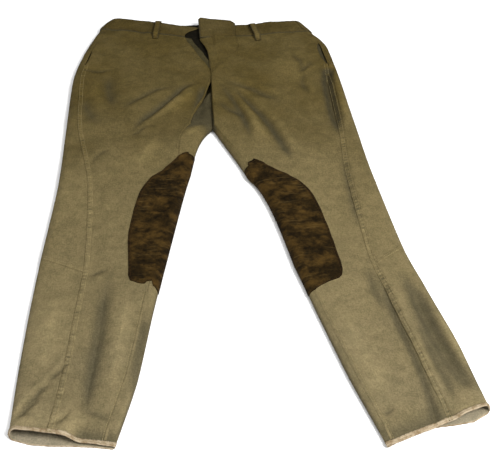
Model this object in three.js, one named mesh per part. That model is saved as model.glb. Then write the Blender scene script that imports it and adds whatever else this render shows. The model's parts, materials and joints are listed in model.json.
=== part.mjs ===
// Riding breeches laid flat, front side up, waist towards +Y, hems towards -Y. Millimetres, +Z up.
// "right" and "left" are the wearer's: the right leg lies on the -X side.
import * as THREE from "three";

// ---------- Cloth ----------
const CLOTH = 1.2; // twill panels and waistband
const LINING = 0.8; // inner facings, pocket bags, tapes at the hem
const SUEDE = 1.2; // knee patches
const SEAM = 0.3; // clearance at every seam and between layers that lie on each other
const KNEE_CUT = 0.8; // clearance across the fold line at the knee

// ---------- How the legs lie ----------
// Stations run from the waist's top edge down to the hem. Each gives the outer edge, the inner edge of the
// front and of the back layer, the height of the front layer's middle surface, and how far in from the outer
// and the inner edge the outseam and the inseam lie.
const WAIST_HEIGHT = { right: 17, left: 20 }; // the left front overlaps the right one at the fly
const { right: WAIST_RIGHT, left: WAIST_LEFT } = WAIST_HEIGHT;
const STATIONS = {
  right: [
    { outer: [-179, 492], front: [-3, 442], back: [-6, 462], height: WAIST_RIGHT, outseam: 18, inseam: 44 },
    { outer: [-201, 461], front: [-3, 403], back: [-6, 424], height: WAIST_RIGHT, outseam: 16, inseam: 46 },
    { outer: [-229, 380], front: [-3, 362], back: [-6, 366], height: WAIST_RIGHT, outseam: 14, inseam: 26 },
    { outer: [-245, 300], front: [-5, 290], back: [-6, 290], height: 18, outseam: 14, inseam: 1 },
    { outer: [-251, 160], front: [-13, 147], back: [-13, 147], height: 18, outseam: 20, inseam: 36 },
    { outer: [-257, 20], front: [-58, 18], back: [-58, 18], height: 18, outseam: 46, inseam: 15 },
    { outer: [-274, -141], front: [-98, -163], back: [-98, -163], height: 16, outseam: 64, inseam: 14 },
    { outer: [-282, -230], front: [-117, -255], back: [-117, -255], height: 14, outseam: 63, inseam: 14 },
    { outer: [-290, -345], front: [-139, -372], back: [-139, -372], height: 14, outseam: 58, inseam: 14 },
    { outer: [-294, -440], front: [-166, -467], back: [-166, -467], height: 13, outseam: 48, inseam: 14 },
  ],
  left: [
    { outer: [167, 447], front: [-3, 441], back: [-6, 462], height: WAIST_LEFT, outseam: 18, inseam: 47.5 },
    { outer: [184, 412], front: [-3, 402], back: [-6, 424], height: WAIST_LEFT, outseam: 16, inseam: 47.5 },
    { outer: [205, 370], front: [-3, 362], back: [-6, 366], height: WAIST_LEFT, outseam: 14, inseam: 47.5 },
    { outer: [212, 300], front: [-5, 290], back: [-6, 290], height: WAIST_LEFT, outseam: 14, inseam: 1 },
    { outer: [219, 165], front: [-13, 147], back: [-13, 147], height: 18, outseam: 20, inseam: 3 },
    { outer: [226, 20], front: [34, 16], back: [34, 16], height: 18, outseam: 34, inseam: 8 },
    { outer: [243, -161], front: [86, -193], back: [86, -193], height: 16, outseam: 48, inseam: 9 },
    { outer: [257, -230], front: [102, -268], back: [102, -268], height: 14, outseam: 50, inseam: 9 },
    { outer: [280, -346], front: [129, -388], back: [129, -388], height: 14, outseam: 54, inseam: 9 },
    { outer: [294, -450], front: [158, -493], back: [158, -493], height: 13, outseam: 52, inseam: 9 },
  ],
};
const WAIST_SEAM = 1; // station numbers that the pieces are cut at
const FLY_BASE = 3;
const CROTCH = 4;
const KNEE = 6;
const HEM = 9;
const ROWS = 3; // rows of facets from one station to the next

// ---------- Section of a leg ----------
const SHOULDER = 12; // where the front layer rolls over at either side
const FLOOR_ROLL = 5; // where the side wall meets the floor
const EDGE_SHARE = 0.42; // height of the outermost edge, as a share of the front layer's height
const BAND_LIFT = 1.8; // the waistband's back lies on its belt loop

// ---------- Waist and fly ----------
const TAB = {
  left: -21, right: 43.6, bottom: 410, top: 462, corner: 8, z: WAIST_LEFT + CLOTH / 2 + CLOTH + 0.1,
};
const FLY_SINK = 1.7; // how far the right front dips under the zip beside the fly
const UNDERLAP = { left: -48, right: 33, bottom: 306, top: 458, z: WAIST_RIGHT - FLY_SINK - CLOTH - 0.4 };
const FACING = { left: 20, right: 60, bottom: 352, top: 398, z: WAIST_HEIGHT.left - CLOTH - 0.6 };
const TURNBACK = { width: 12, z: WAIST_HEIGHT.right - FLY_SINK - 0.2 };

const ZIP = { x: 14, bottom: 312, top: 408, tape: 0.7 };
const ZIP_Z = WAIST_HEIGHT.right - FLY_SINK + CLOTH / 2 + SEAM + ZIP.tape / 2;
const TOOTH = { inner: 1, outer: 1.9, height: 1.9, pitch: 4, notch: 0.35 };
const TAPE_WIDTH = { right: 20, left: 22 };
const SLIDER = { width: 9, length: 9, plate: 0.7, post: 1.1, play: 0.3 };
const PULL = { width: 5, length: 20, thick: 0.7, hole: 1.2 };
const STOP = { width: 1.6, length: 2.4 };
const HOOK = { width: 11, length: 14, thick: 0.8, lip: 1.5, x: -12, y: 437 };
const BAR = { width: 6, length: 16, thick: 0.9, foot: 3, rise: 0.8, x: 5, y: 437 };

// ---------- Belt loops ----------
const LOOP = { width: 10.5, thick: 1.2, foot: 5, ramp: 4, clear: 4.6 };
const FRONT_LOOPS = {
  right: { from: [-107, 418], to: [-98, 470] },
  left: { from: [81, 390], to: [72, 440] },
};
const SIDE_LOOP_REACH = 11;
const BACK_LOOP = { x: -6, bottom: 426, top: 460 };

// ---------- Pockets ----------
const POCKET = { mouthTop: 2, mouthEnd: { right: 2.6, left: 2.95 }, mouth: { right: 9, left: 14 } };
const BAG = { top: 1.25, bottom: 3.25, depth: 105, hollow: 6.4 };
const POCKET_FACING_WIDTH = 22;

// ---------- Hems and knee patches ----------
const TAPE = 7; // binding at the end of the leg
const HEM_FACING = 22; // how far the inner facing reaches up the leg
// How far each knee patch reaches from the inner edge, by station number.
const PATCH = {
  right: [[4.62, 14], [4.8, 38], [5, 58], [5.25, 66], [5.6, 64], [6, 50], [6.3, 44], [6.48, 36], [6.55, 16]],
  left: [[4.86, 20], [4.95, 42], [5.05, 58], [5.3, 68], [5.6, 66], [6, 62], [6.2, 58], [6.35, 50], [6.38, 20]],
};

// ---------- Colours ----------
const KHAKI = { color: 0x77693f, roughness: 0.92, metalness: 0 };
const KHAKI_DARK = { color: 0x5f532f, roughness: 0.92, metalness: 0 };
const LINING_COLOUR = { color: 0x9a8d6a, roughness: 0.9, metalness: 0 };
const DARK_LINING = { color: 0x2c2415, roughness: 0.95, metalness: 0 };
const SUEDE_COLOUR = { color: 0x4a2f17, roughness: 0.98, metalness: 0 };
const HEM_TAPE_COLOUR = { color: 0xa58b6d, roughness: 0.9, metalness: 0 };
const ZIP_TAPE_COLOUR = { color: 0x4b4229, roughness: 0.9, metalness: 0 };
const BRASS = { color: 0xb08d4a, roughness: 0.35, metalness: 1 };
const NICKEL = { color: 0xa7a7a2, roughness: 0.3, metalness: 1 };

const root = new THREE.Group();

function add(name, geometry, look) {
  const mesh = new THREE.Mesh(geometry, new THREE.MeshStandardMaterial(look));
  mesh.name = name;
  root.add(mesh);
  return mesh;
}

// ---------- Curves through the stations ----------
function curveOf(stations, pick) {
  const points = stations.map((s) => new THREE.Vector3(...pick(s)));
  const curve = new THREE.CatmullRomCurve3(points, false, "catmullrom", 0.35);
  return (v) => curve.getPoint(v / (stations.length - 1));
}

// The inner edge: straight from station to station where the two halves meet, and one curve from the crotch down.
function innerCurveOf(stations, pick) {
  const points = stations.map((s) => new THREE.Vector3(...pick(s)));
  const leg = curveOf(stations.slice(CROTCH), pick);
  return (v) => {
    if (v >= CROTCH) return leg(v - CROTCH);
    const whole = Math.max(0, Math.floor(v));
    return points[whole].clone().lerp(points[whole + 1], v - whole);
  };
}

function legOf(side) {
  const stations = STATIONS[side];
  return {
    side,
    outer: curveOf(stations, (s) => [...s.outer, s.height]),
    front: innerCurveOf(stations, (s) => [...s.front, 0]),
    back: innerCurveOf(stations, (s) => [...s.back, 0]),
    seams: curveOf(stations, (s) => [s.outseam, s.inseam, 0]),
  };
}

// A curve's point at a station number, on the straight facets that all pieces share.
function onFacets(curve, v) {
  const low = Math.floor(v * ROWS + 1e-9) / ROWS;
  const high = Math.min(low + 1 / ROWS, HEM);
  return high > low ? curve(low).lerp(curve(high), (v - low) / (high - low)) : curve(low);
}

// Everything that one row across a leg needs: its two ends, its width, its height and its seams.
function rowAt(leg, v) {
  const [outer, front, back, seams] = [leg.outer, leg.front, leg.back, leg.seams].map((c) => onFacets(c, v));
  return {
    v,
    outer,
    front,
    back,
    height: outer.z,
    width: Math.hypot(outer.x - front.x, outer.y - front.y),
    outseam: seams.x,
    inseam: Math.max(seams.y, SEAM / 2),
    floor: CLOTH / 2 + (v < WAIST_SEAM ? BAND_LIFT : 0),
    closed: v >= CROTCH,
  };
}

// A point of a row, s millimetres from its inner end, on the front layer's line or on the back layer's.
function place(row, s, z, layer = "front") {
  const from = row[layer];
  const t = s / row.width;
  return new THREE.Vector3(from.x + (row.outer.x - from.x) * t, from.y + (row.outer.y - from.y) * t, z);
}

// The six corners of a row's section as [s, z], moved outwards by a distance.
function cornersOf(row, out = 0) {
  const { width, height, floor } = row;
  const edge = floor + (height - floor) * EDGE_SHARE;
  const ring = [
    [SHOULDER, height],
    [CLOTH, edge],
    [FLOOR_ROLL, floor],
    [width - FLOOR_ROLL, floor],
    [width, edge],
    [width - SHOULDER, height],
  ];
  return out === 0 ? ring : ring.map((corner, i) => mitre(ring[(i + 5) % 6], corner, ring[(i + 1) % 6], out));
}

// A corner moved so that both of its sides lie a distance further out. The ring runs clockwise from the top.
function mitre(before, corner, after, out) {
  const [a, b] = [normalOf(before, corner), normalOf(corner, after)];
  const scale = out / (1 + a[0] * b[0] + a[1] * b[1]);
  return [corner[0] + (a[0] + b[0]) * scale, corner[1] + (a[1] + b[1]) * scale];
}

function normalOf(from, to) {
  const [x, z] = [to[0] - from[0], to[1] - from[1]];
  const length = Math.hypot(x, z);
  return [z / length, -x / length];
}

// Height of the outer surface of a closed row over a place near its inner edge.
function topAt(row, s) {
  if (!row.closed || s >= SHOULDER) return row.height;
  const edge = row.floor + (row.height - row.floor) * EDGE_SHARE;
  return edge + ((row.height - edge) * Math.max(0, s - CLOTH)) / (SHOULDER - CLOTH);
}

// Row numbers from one station to another, with the last one or first one held back by a clearance in mm.
function rows(leg, from, to, { startGap = 0, endGap = 0, extra = [] } = {}) {
  const start = from + startGap / stationLength(leg, from);
  const end = to - endGap / stationLength(leg, to - 1);
  const near = 0.02;
  const every = Array.from({ length: HEM * ROWS + 1 }, (_, i) => i / ROWS);
  const inside = [...every, ...extra].filter((v) => v > start + near && v < end - near).sort((a, b) => a - b);
  return [start, ...inside.filter((v, i) => i === 0 || v - inside[i - 1] > near), end];
}

function stationLength(leg, from) {
  const whole = Math.min(Math.max(Math.floor(from + 1e-6), 0), HEM - 1);
  return leg.outer(whole).distanceTo(leg.outer(whole + 1));
}

// ---------- Cloth of even thickness from its middle surface ----------
// patches are grids of points that share their edges; triangles are added as they are. All run the same way.
function clothOf(patches, thickness, triangles = []) {
  const points = [];
  const index = new Map();
  const idOf = (p) => {
    const key = [p.x, p.y, p.z].map((value) => Math.round(value * 500)).join();
    if (!index.has(key)) {
      index.set(key, points.length);
      points.push(p.clone());
    }
    return index.get(key);
  };
  const faces = [];
  const face = (a, b, c) => {
    const ids = [idOf(a), idOf(b), idOf(c)];
    if (new Set(ids).size === 3) faces.push(ids);
  };
  for (const grid of patches) {
    for (let i = 0; i + 1 < grid.length; i++) {
      for (let j = 0; j + 1 < grid[i].length; j++) {
        face(grid[i][j], grid[i + 1][j], grid[i + 1][j + 1]);
        face(grid[i][j], grid[i + 1][j + 1], grid[i][j + 1]);
      }
    }
  }
  triangles.forEach((t) => face(...t));
  const normals = normalsOf(points, faces);
  const vertices = [1, -1].flatMap((side) =>
    points.map((p, i) => p.clone().addScaledVector(normals[i], (side * thickness) / 2)),
  );
  const edges = new Map();
  for (const [a, b, c] of faces) [[a, b], [b, c], [c, a]].forEach(([p, q]) => edges.set(`${p},${q}`, [p, q]));
  const n = points.length;
  const shell = faces.flatMap(([a, b, c]) => [[a, b, c], [c + n, b + n, a + n]]);
  for (const [p, q] of edges.values()) {
    if (!edges.has(`${q},${p}`)) shell.push([q, p, p + n], [q, p + n, q + n]);
  }
  return solidOf(vertices, shell);
}

// For each point, the shift that moves every face around it out by one: a mitre at creases and corners.
function normalsOf(points, faces) {
  const sums = points.map(() => ({
    matrix: new THREE.Matrix3().set(0, 0, 0, 0, 0, 0, 0, 0, 0),
    pull: new THREE.Vector3(),
  }));
  const angle = (p, q, r) => q.clone().sub(p).angleTo(r.clone().sub(p));
  for (const ids of faces) {
    const n = new THREE.Triangle(...ids.map((id) => points[id])).getNormal(new THREE.Vector3());
    ids.forEach((id, k) => {
      const weight = angle(points[id], points[ids[(k + 1) % 3]], points[ids[(k + 2) % 3]]);
      const [x, y, z] = n.toArray();
      const product = [x * x, x * y, x * z, y * x, y * y, y * z, z * x, z * y, z * z];
      sums[id].matrix.elements.forEach((_, i, all) => (all[i] += weight * product[i]));
      sums[id].pull.addScaledVector(n, weight);
    });
  }
  return sums.map(({ matrix, pull }) => {
    [0, 4, 8].forEach((i) => (matrix.elements[i] += 1e-4));
    return pull.applyMatrix3(matrix.invert()).clampLength(0, 1.6);
  });
}

function solidOf(vertices, faces) {
  const volume = faces.reduce((sum, [a, b, c]) => {
    const cross = vertices[b].clone().cross(vertices[c]);
    return sum + vertices[a].dot(cross) / 6;
  }, 0);
  const geometry = new THREE.BufferGeometry();
  geometry.setAttribute("position", new THREE.Float32BufferAttribute(vertices.flatMap((p) => p.toArray()), 3));
  geometry.setIndex(faces.flatMap((f) => (volume < 0 ? [f[0], f[2], f[1]] : f)));
  geometry.computeVertexNormals();
  return geometry;
}

// Evenly spread values from a to b, both included.
function spread(a, b, count) {
  return Array.from({ length: count + 1 }, (_, i) => a + ((b - a) * i) / count);
}

// ---------- Panels ----------
// How far the front panel's outer edge draws back from the outseam: the pocket's mouth, between its two ends.
function mouthAt(leg, v) {
  const end = POCKET.mouthEnd[leg.side];
  if (v <= POCKET.mouthTop || v >= end) return 0;
  const t = (v - POCKET.mouthTop) / (end - POCKET.mouthTop);
  return POCKET.mouth[leg.side] * Math.sin(Math.PI * t) ** 0.35;
}

function mouthRows(leg) {
  const end = POCKET.mouthEnd[leg.side];
  return [0, 0.06, 0.3, 0.7, 0.94, 1].map((t) => POCKET.mouthTop + (end - POCKET.mouthTop) * t);
}

// How far the right front sinks beside the fly, where it lies under the zip.
function sinkAt(leg, row, s) {
  if (leg.side !== "right" || row.v > FLY_BASE) return 0;
  const along = Math.min(1, (FLY_BASE - row.v) / 0.25);
  return FLY_SINK * along * Math.max(0, 1 - Math.max(0, s - 30) / 60);
}

function frontRow(leg, v, columns) {
  const row = rowAt(leg, v);
  const inner = row.inseam + SEAM / 2;
  const outer = row.width - row.outseam - SEAM / 2 - mouthAt(leg, v);
  const second = inner < SHOULDER ? SHOULDER : inner + 4;
  const places = [inner, ...spread(second, outer, columns)];
  return places.map((s) => place(row, s, topAt(row, s) - sinkAt(leg, row, s)));
}

// The front panel between two lines: one grid from the outseam to the inseam.
function frontPanel(leg, from, to, options) {
  return [rows(leg, from, to, options).map((v) => frontRow(leg, v, 5))];
}

function outerPart(row) {
  const [, , , floorOuter, edge, shoulder] = cornersOf(row);
  return [
    place(row, row.width - row.outseam + SEAM / 2, row.height),
    place(row, ...shoulder),
    place(row, ...edge),
    place(row, ...floorOuter, "back"),
  ];
}

// How far an open row's back layer stays from the centre line: more where it turns up at the crotch.
function centreInset(row) {
  return row.v > CROTCH - 0.1 ? CLOTH : SEAM / 2;
}

function backRow(row) {
  const floorInner = row.closed ? FLOOR_ROLL : centreInset(row);
  const across = spread(row.width - FLOOR_ROLL, floorInner, 4).slice(1);
  return [...outerPart(row), ...across.map((s) => place(row, s, row.floor, "back"))];
}

// From the floor up round the inner edge to the inseam.
function innerRow(row) {
  const inseam = row.inseam - SEAM / 2;
  const turn = inseam > SHOULDER ? SHOULDER : inseam * 0.6;
  const [, edge, floorInner] = cornersOf(row);
  return [
    place(row, ...floorInner, "back"),
    place(row, ...edge),
    place(row, turn, topAt(row, turn)),
    place(row, inseam, topAt(row, inseam)),
  ];
}

function backPanel(leg, from, to, options = {}) {
  const lastOpen = CROTCH - 0.08;
  const extra = from < CROTCH ? [lastOpen, CROTCH, ...mouthRows(leg)] : [];
  const all = rows(leg, from, to, { ...options, extra }).map((v) => rowAt(leg, v));
  const closed = all.filter((row) => row.closed);
  const patches = [all.map(backRow), closed.map(innerRow)];
  const triangles = [];
  if (from < CROTCH) {
    const [open, first] = [rowAt(leg, lastOpen), closed[0]];
    const [floor, edge, turn] = innerRow(first);
    triangles.push([place(open, centreInset(open), open.floor, "back"), floor, edge]);
    if (first.inseam > SHOULDER) {
      const strip = all.filter((row) => row.v > FLY_BASE + 0.2 && row.v <= CROTCH);
      patches.push(strip.map((row) => stripRow(row, row === first ? turn : null)));
      triangles.push([place(open, centreInset(open), open.height), edge, turn]);
    }
  }
  return clothOf(patches, CLOTH, triangles);
}

// Above the crotch the back's inner edge comes up between the two fronts.
function stripRow(row, start) {
  const inseam = row.inseam - SEAM / 2;
  const first = start || place(row, centreInset(row), row.height);
  return [first, place(row, inseam, row.height)];
}

// ---------- Waistband ----------
function bandRow(leg, v, out, frontInset) {
  const row = rowAt(leg, v);
  const [, , , floorOuter, edge, shoulder] = cornersOf(row, out);
  const inner = row.inseam + frontInset;
  const sink = (s) => sinkAt(leg, row, s);
  const front = spread(inner, shoulder[0], 3).slice(0, -1);
  const back = spread(floorOuter[0], SEAM / 2, 3).slice(1);
  return [
    ...front.map((s) => place(row, s, shoulder[1] - sink(s))),
    place(row, ...shoulder),
    place(row, ...edge),
    place(row, ...floorOuter, "back"),
    ...back.map((s) => place(row, s, floorOuter[1], "back")),
  ];
}

function bandOf(leg, thickness, out, frontInset, trim) {
  const last = WAIST_SEAM - 1e-4;
  const list = rows(leg, 0, last, { startGap: trim, endGap: trim + SEAM });
  return clothOf([list.map((v) => bandRow(leg, v, out, frontInset))], thickness);
}

// ---------- Hem ----------
function ringRow(row, out) {
  const ring = cornersOf(row, out);
  const layers = ["front", "front", "back", "back", "front", "front"];
  const points = ring.map((corner, i) => place(row, ...corner, layers[i]));
  return [...points, points[0]];
}

function hemRing(leg, thickness, out, length, end) {
  const step = stationLength(leg, HEM - 1);
  const list = [HEM - (length + end) / step, HEM - end / step];
  return clothOf([list.map((v) => ringRow(rowAt(leg, v), out))], thickness);
}

// ---------- Knee patch ----------
function patchReach(side, v) {
  const table = PATCH[side];
  const next = table.findIndex(([at]) => at >= v);
  if (next <= 0) return table[next < 0 ? table.length - 1 : 0][1];
  const [[v0, s0], [v1, s1]] = [table[next - 1], table[next]];
  return s0 + ((s1 - s0) * (v - v0)) / (v1 - v0);
}

function patchRow(leg, v) {
  const row = rowAt(leg, v);
  const out = CLOTH / 2 + SEAM + SUEDE / 2;
  const [shoulder, edge] = cornersOf(row, out);
  const reach = Math.max(patchReach(leg.side, v), shoulder[0] + 1);
  const top = spread(shoulder[0], reach, 3);
  return [place(row, ...edge), ...top.map((s) => place(row, s, shoulder[1]))];
}

function patchPart(leg, upper) {
  const table = PATCH[leg.side];
  const gap = KNEE_CUT / 2 / stationLength(leg, upper ? KNEE - 1 : KNEE);
  const [from, to] = upper ? [table[0][0], KNEE - gap] : [KNEE + gap, table[table.length - 1][0]];
  const extra = table.map(([v]) => v);
  return clothOf([rows(leg, from, to, { extra }).map((v) => patchRow(leg, v))], SUEDE);
}

// ---------- Pockets ----------
function bagGeometry(leg) {
  const top = (row) => row.height - CLOTH / 2 - SEAM - LINING / 2 - 0.2;
  const list = rows(leg, BAG.top, BAG.bottom).map((v) => rowAt(leg, v));
  const section = (row) => {
    const outer = row.width - row.outseam - 1;
    const lip = outer - POCKET.mouth[leg.side] - 2;
    const inner = outer - BAG.depth;
    const [high, low] = [top(row), top(row) - BAG.hollow - LINING];
    return [[lip, high], [inner, high], [inner - 2, (high + low) / 2], [inner, low], [lip, low], [outer, low]];
  };
  const grid = list.map((row) => section(row).map(([s, z]) => place(row, s, z)));
  const closing = [grid[0], grid[grid.length - 1]].map(([a, b, c, d, e], i) => {
    const fan = [[a, b, d], [a, d, e], [b, c, d]];
    return i === 0 ? fan : fan.map((t) => [...t].reverse());
  });
  return clothOf([grid], LINING, closing.flat());
}

function pocketFacing(leg) {
  const list = rows(leg, POCKET.mouthTop - 0.1, POCKET.mouthEnd[leg.side] + 0.1);
  const grid = list.map((v) => {
    const row = rowAt(leg, v);
    const low = row.height - CLOTH / 2 - SEAM - LINING / 2 - 0.2 - BAG.hollow - LINING;
    const outer = row.width - row.outseam - 1.5;
    const inner = outer - POCKET_FACING_WIDTH;
    return [inner, (inner + outer) / 2, outer].map((s) => place(row, s, low + LINING + SEAM));
  });
  return clothOf([grid], LINING);
}

// ---------- Small flat pieces ----------
function plate(outline, bottom, thickness, holes = []) {
  const shape = new THREE.Shape(outline.map(([x, y]) => new THREE.Vector2(x, y)));
  shape.holes.push(...holes);
  const geometry = new THREE.ExtrudeGeometry(shape, { depth: thickness, bevelEnabled: false });
  return geometry.translate(0, 0, bottom);
}

function slab({ left, right, bottom, top }, z, thickness) {
  return plate([[left, bottom], [right, bottom], [right, top], [left, top]], z - thickness / 2, thickness);
}

// A profile in Y and Z carried along X.
function beam(profile, from, length) {
  const shape = new THREE.Shape(profile.map(([y, z]) => new THREE.Vector2(y, z)));
  const geometry = new THREE.ExtrudeGeometry(shape, { depth: length, bevelEnabled: false });
  const turn = new THREE.Matrix4().makeBasis(
    new THREE.Vector3(0, 1, 0),
    new THREE.Vector3(0, 0, 1),
    new THREE.Vector3(1, 0, 0),
  );
  return geometry.applyMatrix4(turn).translate(from, 0, 0);
}

// A belt loop between two points: both ends lie on the cloth and the middle stands clear of it.
function archLoop({ from, to }, height) {
  const { width, thick, foot, ramp, clear } = LOOP;
  const length = Math.hypot(to[0] - from[0], to[1] - from[1]);
  const under = [
    [foot + 1, 0], [foot + ramp + 1, clear], [length - foot - ramp - 1, clear], [length - foot - 1, 0],
  ];
  const over = [
    [length, 0], [length, thick], [length - foot, thick], [length - foot - ramp, clear + thick],
    [foot + ramp, clear + thick], [foot, thick], [0, thick],
  ];
  const geometry = beam([[0, 0], ...under, ...over], -width / 2, width);
  const angle = Math.atan2(to[1] - from[1], to[0] - from[0]) - Math.PI / 2;
  return geometry.rotateZ(angle).translate(from[0], from[1], height + CLOTH / 2 + SEAM);
}

// A flat loop round the side of the waistband.
function sideLoop(leg) {
  const out = CLOTH / 2 + SEAM + LOOP.thick / 2;
  const grid = rows(leg, 0, WAIST_SEAM - 1e-4, { endGap: 1 }).map((v) => {
    const row = rowAt(leg, v);
    const [, , , , edge, shoulder] = cornersOf(row, out);
    const length = Math.hypot(shoulder[0] - edge[0], shoulder[1] - edge[1]);
    const t = Math.min(1, SIDE_LOOP_REACH / length);
    const end = [edge[0] + (shoulder[0] - edge[0]) * t, edge[1] + (shoulder[1] - edge[1]) * t];
    return [place(row, ...edge), place(row, ...end)];
  });
  return clothOf([grid], LOOP.thick);
}

// ---------- Fly ----------
// The flap fills what the left front leaves free beside the centre, down to the fly's base.
function flapGeometry() {
  const leg = legOf("left");
  const list = rows(leg, WAIST_SEAM, FLY_BASE - 0.08, { startGap: SEAM });
  const grid = list.map((v) => {
    const row = rowAt(leg, v);
    return spread(SEAM, row.inseam - SEAM / 2, 3).map((s) => place(row, s, row.height));
  });
  return clothOf([grid], CLOTH);
}

function tabGeometry() {
  const { left, right, bottom, top, corner } = TAB;
  const outline = [
    [left, bottom], [right, bottom], [right, top - 2 * corner], [right - corner, top], [left + 4, top],
  ];
  return plate(outline, TAB.z - CLOTH, 2 * CLOTH);
}

// The strip of the right front that is turned back along the open corner of the fly.
function turnbackGeometry() {
  const leg = legOf("right");
  const grid = rows(leg, 1.05, 2.7).map((v) => {
    const row = rowAt(leg, v);
    const edge = row.inseam - SEAM / 2;
    const width = Math.min(TURNBACK.width, edge);
    return [edge - width, edge - SEAM].map((s) => place(row, s, TURNBACK.z));
  });
  return clothOf([grid], LINING);
}

function combOf(sideSign) {
  const { inner, outer, height, pitch, notch } = TOOTH;
  const count = Math.floor((ZIP.top - ZIP.bottom) / pitch);
  const x = (d) => ZIP.x + sideSign * d;
  const outline = [[x(outer), ZIP.bottom], [x(outer), ZIP.bottom + count * pitch]];
  for (let i = count - 1; i >= 0; i--) {
    const y = ZIP.bottom + i * pitch;
    outline.push([x(inner), y + pitch], [x(inner), y + pitch / 2]);
    if (i > 0) outline.push([x(inner + notch), y + pitch / 2], [x(inner + notch), y]);
  }
  return plate(outline, ZIP_Z - height / 2, height);
}

function sliderGeometry() {
  const half = SLIDER.width / 2;
  const inside = TOOTH.height / 2 + SLIDER.play;
  const outside = inside + SLIDER.plate;
  const post = SLIDER.post / 2;
  const section = [
    [-half, outside], [-half, inside], [-post, inside], [-post, -inside], [-half, -inside], [-half, -outside],
    [half, -outside], [half, -inside], [post, -inside], [post, inside], [half, inside], [half, outside],
  ];
  const shape = new THREE.Shape(section.map(([x, z]) => new THREE.Vector2(x, z)));
  const geometry = new THREE.ExtrudeGeometry(shape, { depth: SLIDER.length, bevelEnabled: false });
  return geometry.rotateX(Math.PI / 2).translate(ZIP.x, sliderTop(), ZIP_Z);
}

function sliderTop() {
  return ZIP.top - STOP.length - 1;
}

function pullGeometry() {
  const { width, length, thick, hole } = PULL;
  const top = sliderTop() - SLIDER.length - SEAM;
  const outline = [
    [ZIP.x - width / 2, top], [ZIP.x - width / 2, top - length + 2], [ZIP.x - width / 4, top - length],
    [ZIP.x + width / 4, top - length], [ZIP.x + width / 2, top - length + 2], [ZIP.x + width / 2, top],
  ];
  const opening = new THREE.Path().absarc(ZIP.x, top - length + 4, hole, 0, 2 * Math.PI, true);
  return plate(outline, ZIP_Z + TOOTH.height / 2 + SLIDER.play, thick, [opening]);
}

function hookGeometry() {
  const { width, length, thick, lip, x, y } = HOOK;
  const top = TAB.z - CLOTH - SEAM;
  const [left, right] = [x - width / 2, x + width / 2];
  const profile = [
    [left, top], [left, top - thick - lip], [left + 5, top - thick - lip], [left + 5, top - lip],
    [left + thick, top - lip], [left + thick, top - thick], [right, top - thick], [right, top],
  ];
  const shape = new THREE.Shape(profile.map(([px, z]) => new THREE.Vector2(px, z)));
  const geometry = new THREE.ExtrudeGeometry(shape, { depth: length, bevelEnabled: false });
  return geometry.rotateX(Math.PI / 2).translate(0, y + length / 2, 0);
}

function barGeometry() {
  const { width, length, thick, foot, rise, x, y } = BAR;
  const [a, b] = [y - length / 2, y + length / 2];
  const z = UNDERLAP.z + CLOTH / 2 + SEAM;
  const profile = [
    [a, z], [a + foot, z], [a + foot, z + rise], [b - foot, z + rise],
    [b - foot, z], [b, z], [b, z + rise + thick], [a, z + rise + thick],
  ];
  return beam(profile, x - width / 2, width);
}

// ---------- Assembly ----------
for (const side of ["right", "left"]) {
  const leg = legOf(side);
  const cut = KNEE_CUT / 2;
  const waistGap = { startGap: SEAM, endGap: cut };
  const frontExtra = [...mouthRows(leg), CROTCH - 0.08, CROTCH];
  const tapeStart = { startGap: cut, endGap: TAPE + SEAM };

  add(`${side}_front_thigh_panel`,
    clothOf(frontPanel(leg, WAIST_SEAM, KNEE, { ...waistGap, extra: frontExtra }), CLOTH), KHAKI);
  add(`${side}_back_thigh_panel`, backPanel(leg, WAIST_SEAM, KNEE, waistGap), KHAKI);
  add(`${side}_front_calf_panel`, clothOf(frontPanel(leg, KNEE, HEM, tapeStart), CLOTH), KHAKI);
  add(`${side}_back_calf_panel`, backPanel(leg, KNEE, HEM, tapeStart), KHAKI);
  add(`${side}_knee_patch_upper`, patchPart(leg, true), SUEDE_COLOUR);
  add(`${side}_knee_patch_lower`, patchPart(leg, false), SUEDE_COLOUR);
  add(`${side}_hem_tape`, hemRing(leg, CLOTH, 0, TAPE, 0), HEM_TAPE_COLOUR);
  const facingIn = -(CLOTH / 2 + SEAM + LINING / 2);
  add(`${side}_hem_facing`, hemRing(leg, LINING, facingIn, HEM_FACING, 1), LINING_COLOUR);

  add(`${side}_waistband`, bandOf(leg, CLOTH, 0, SEAM / 2, 0), KHAKI_DARK);
  add(`${side}_waistband_lining`, bandOf(leg, LINING, facingIn, 3, 2), LINING_COLOUR);
  add(`${side}_front_belt_loop`, archLoop(FRONT_LOOPS[side], WAIST_HEIGHT[side]), KHAKI_DARK);
  add(`${side}_side_belt_loop`, sideLoop(leg), KHAKI_DARK);
  add(`${side}_pocket_bag`, bagGeometry(leg), LINING_COLOUR);
  add(`${side}_pocket_facing`, pocketFacing(leg), KHAKI_DARK);
}

const { x: loopX, bottom: loopBottom, top: loopTop } = BACK_LOOP;
const backLoop = { left: loopX - LOOP.width / 2, right: loopX + LOOP.width / 2, bottom: loopBottom, top: loopTop };
add("back_belt_loop", slab(backLoop, LOOP.thick / 2 + 0.2, LOOP.thick), KHAKI_DARK);

add("fly_flap", flapGeometry(), KHAKI);
add("waist_tab", tabGeometry(), KHAKI_DARK);
add("waist_hook", hookGeometry(), NICKEL);
add("fly_underlap", slab(UNDERLAP, UNDERLAP.z, CLOTH), DARK_LINING);
add("waist_bar", barGeometry(), NICKEL);
add("right_fly_turnback", turnbackGeometry(), LINING_COLOUR);
add("left_fly_facing", slab(FACING, FACING.z, CLOTH), LINING_COLOUR);

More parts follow.
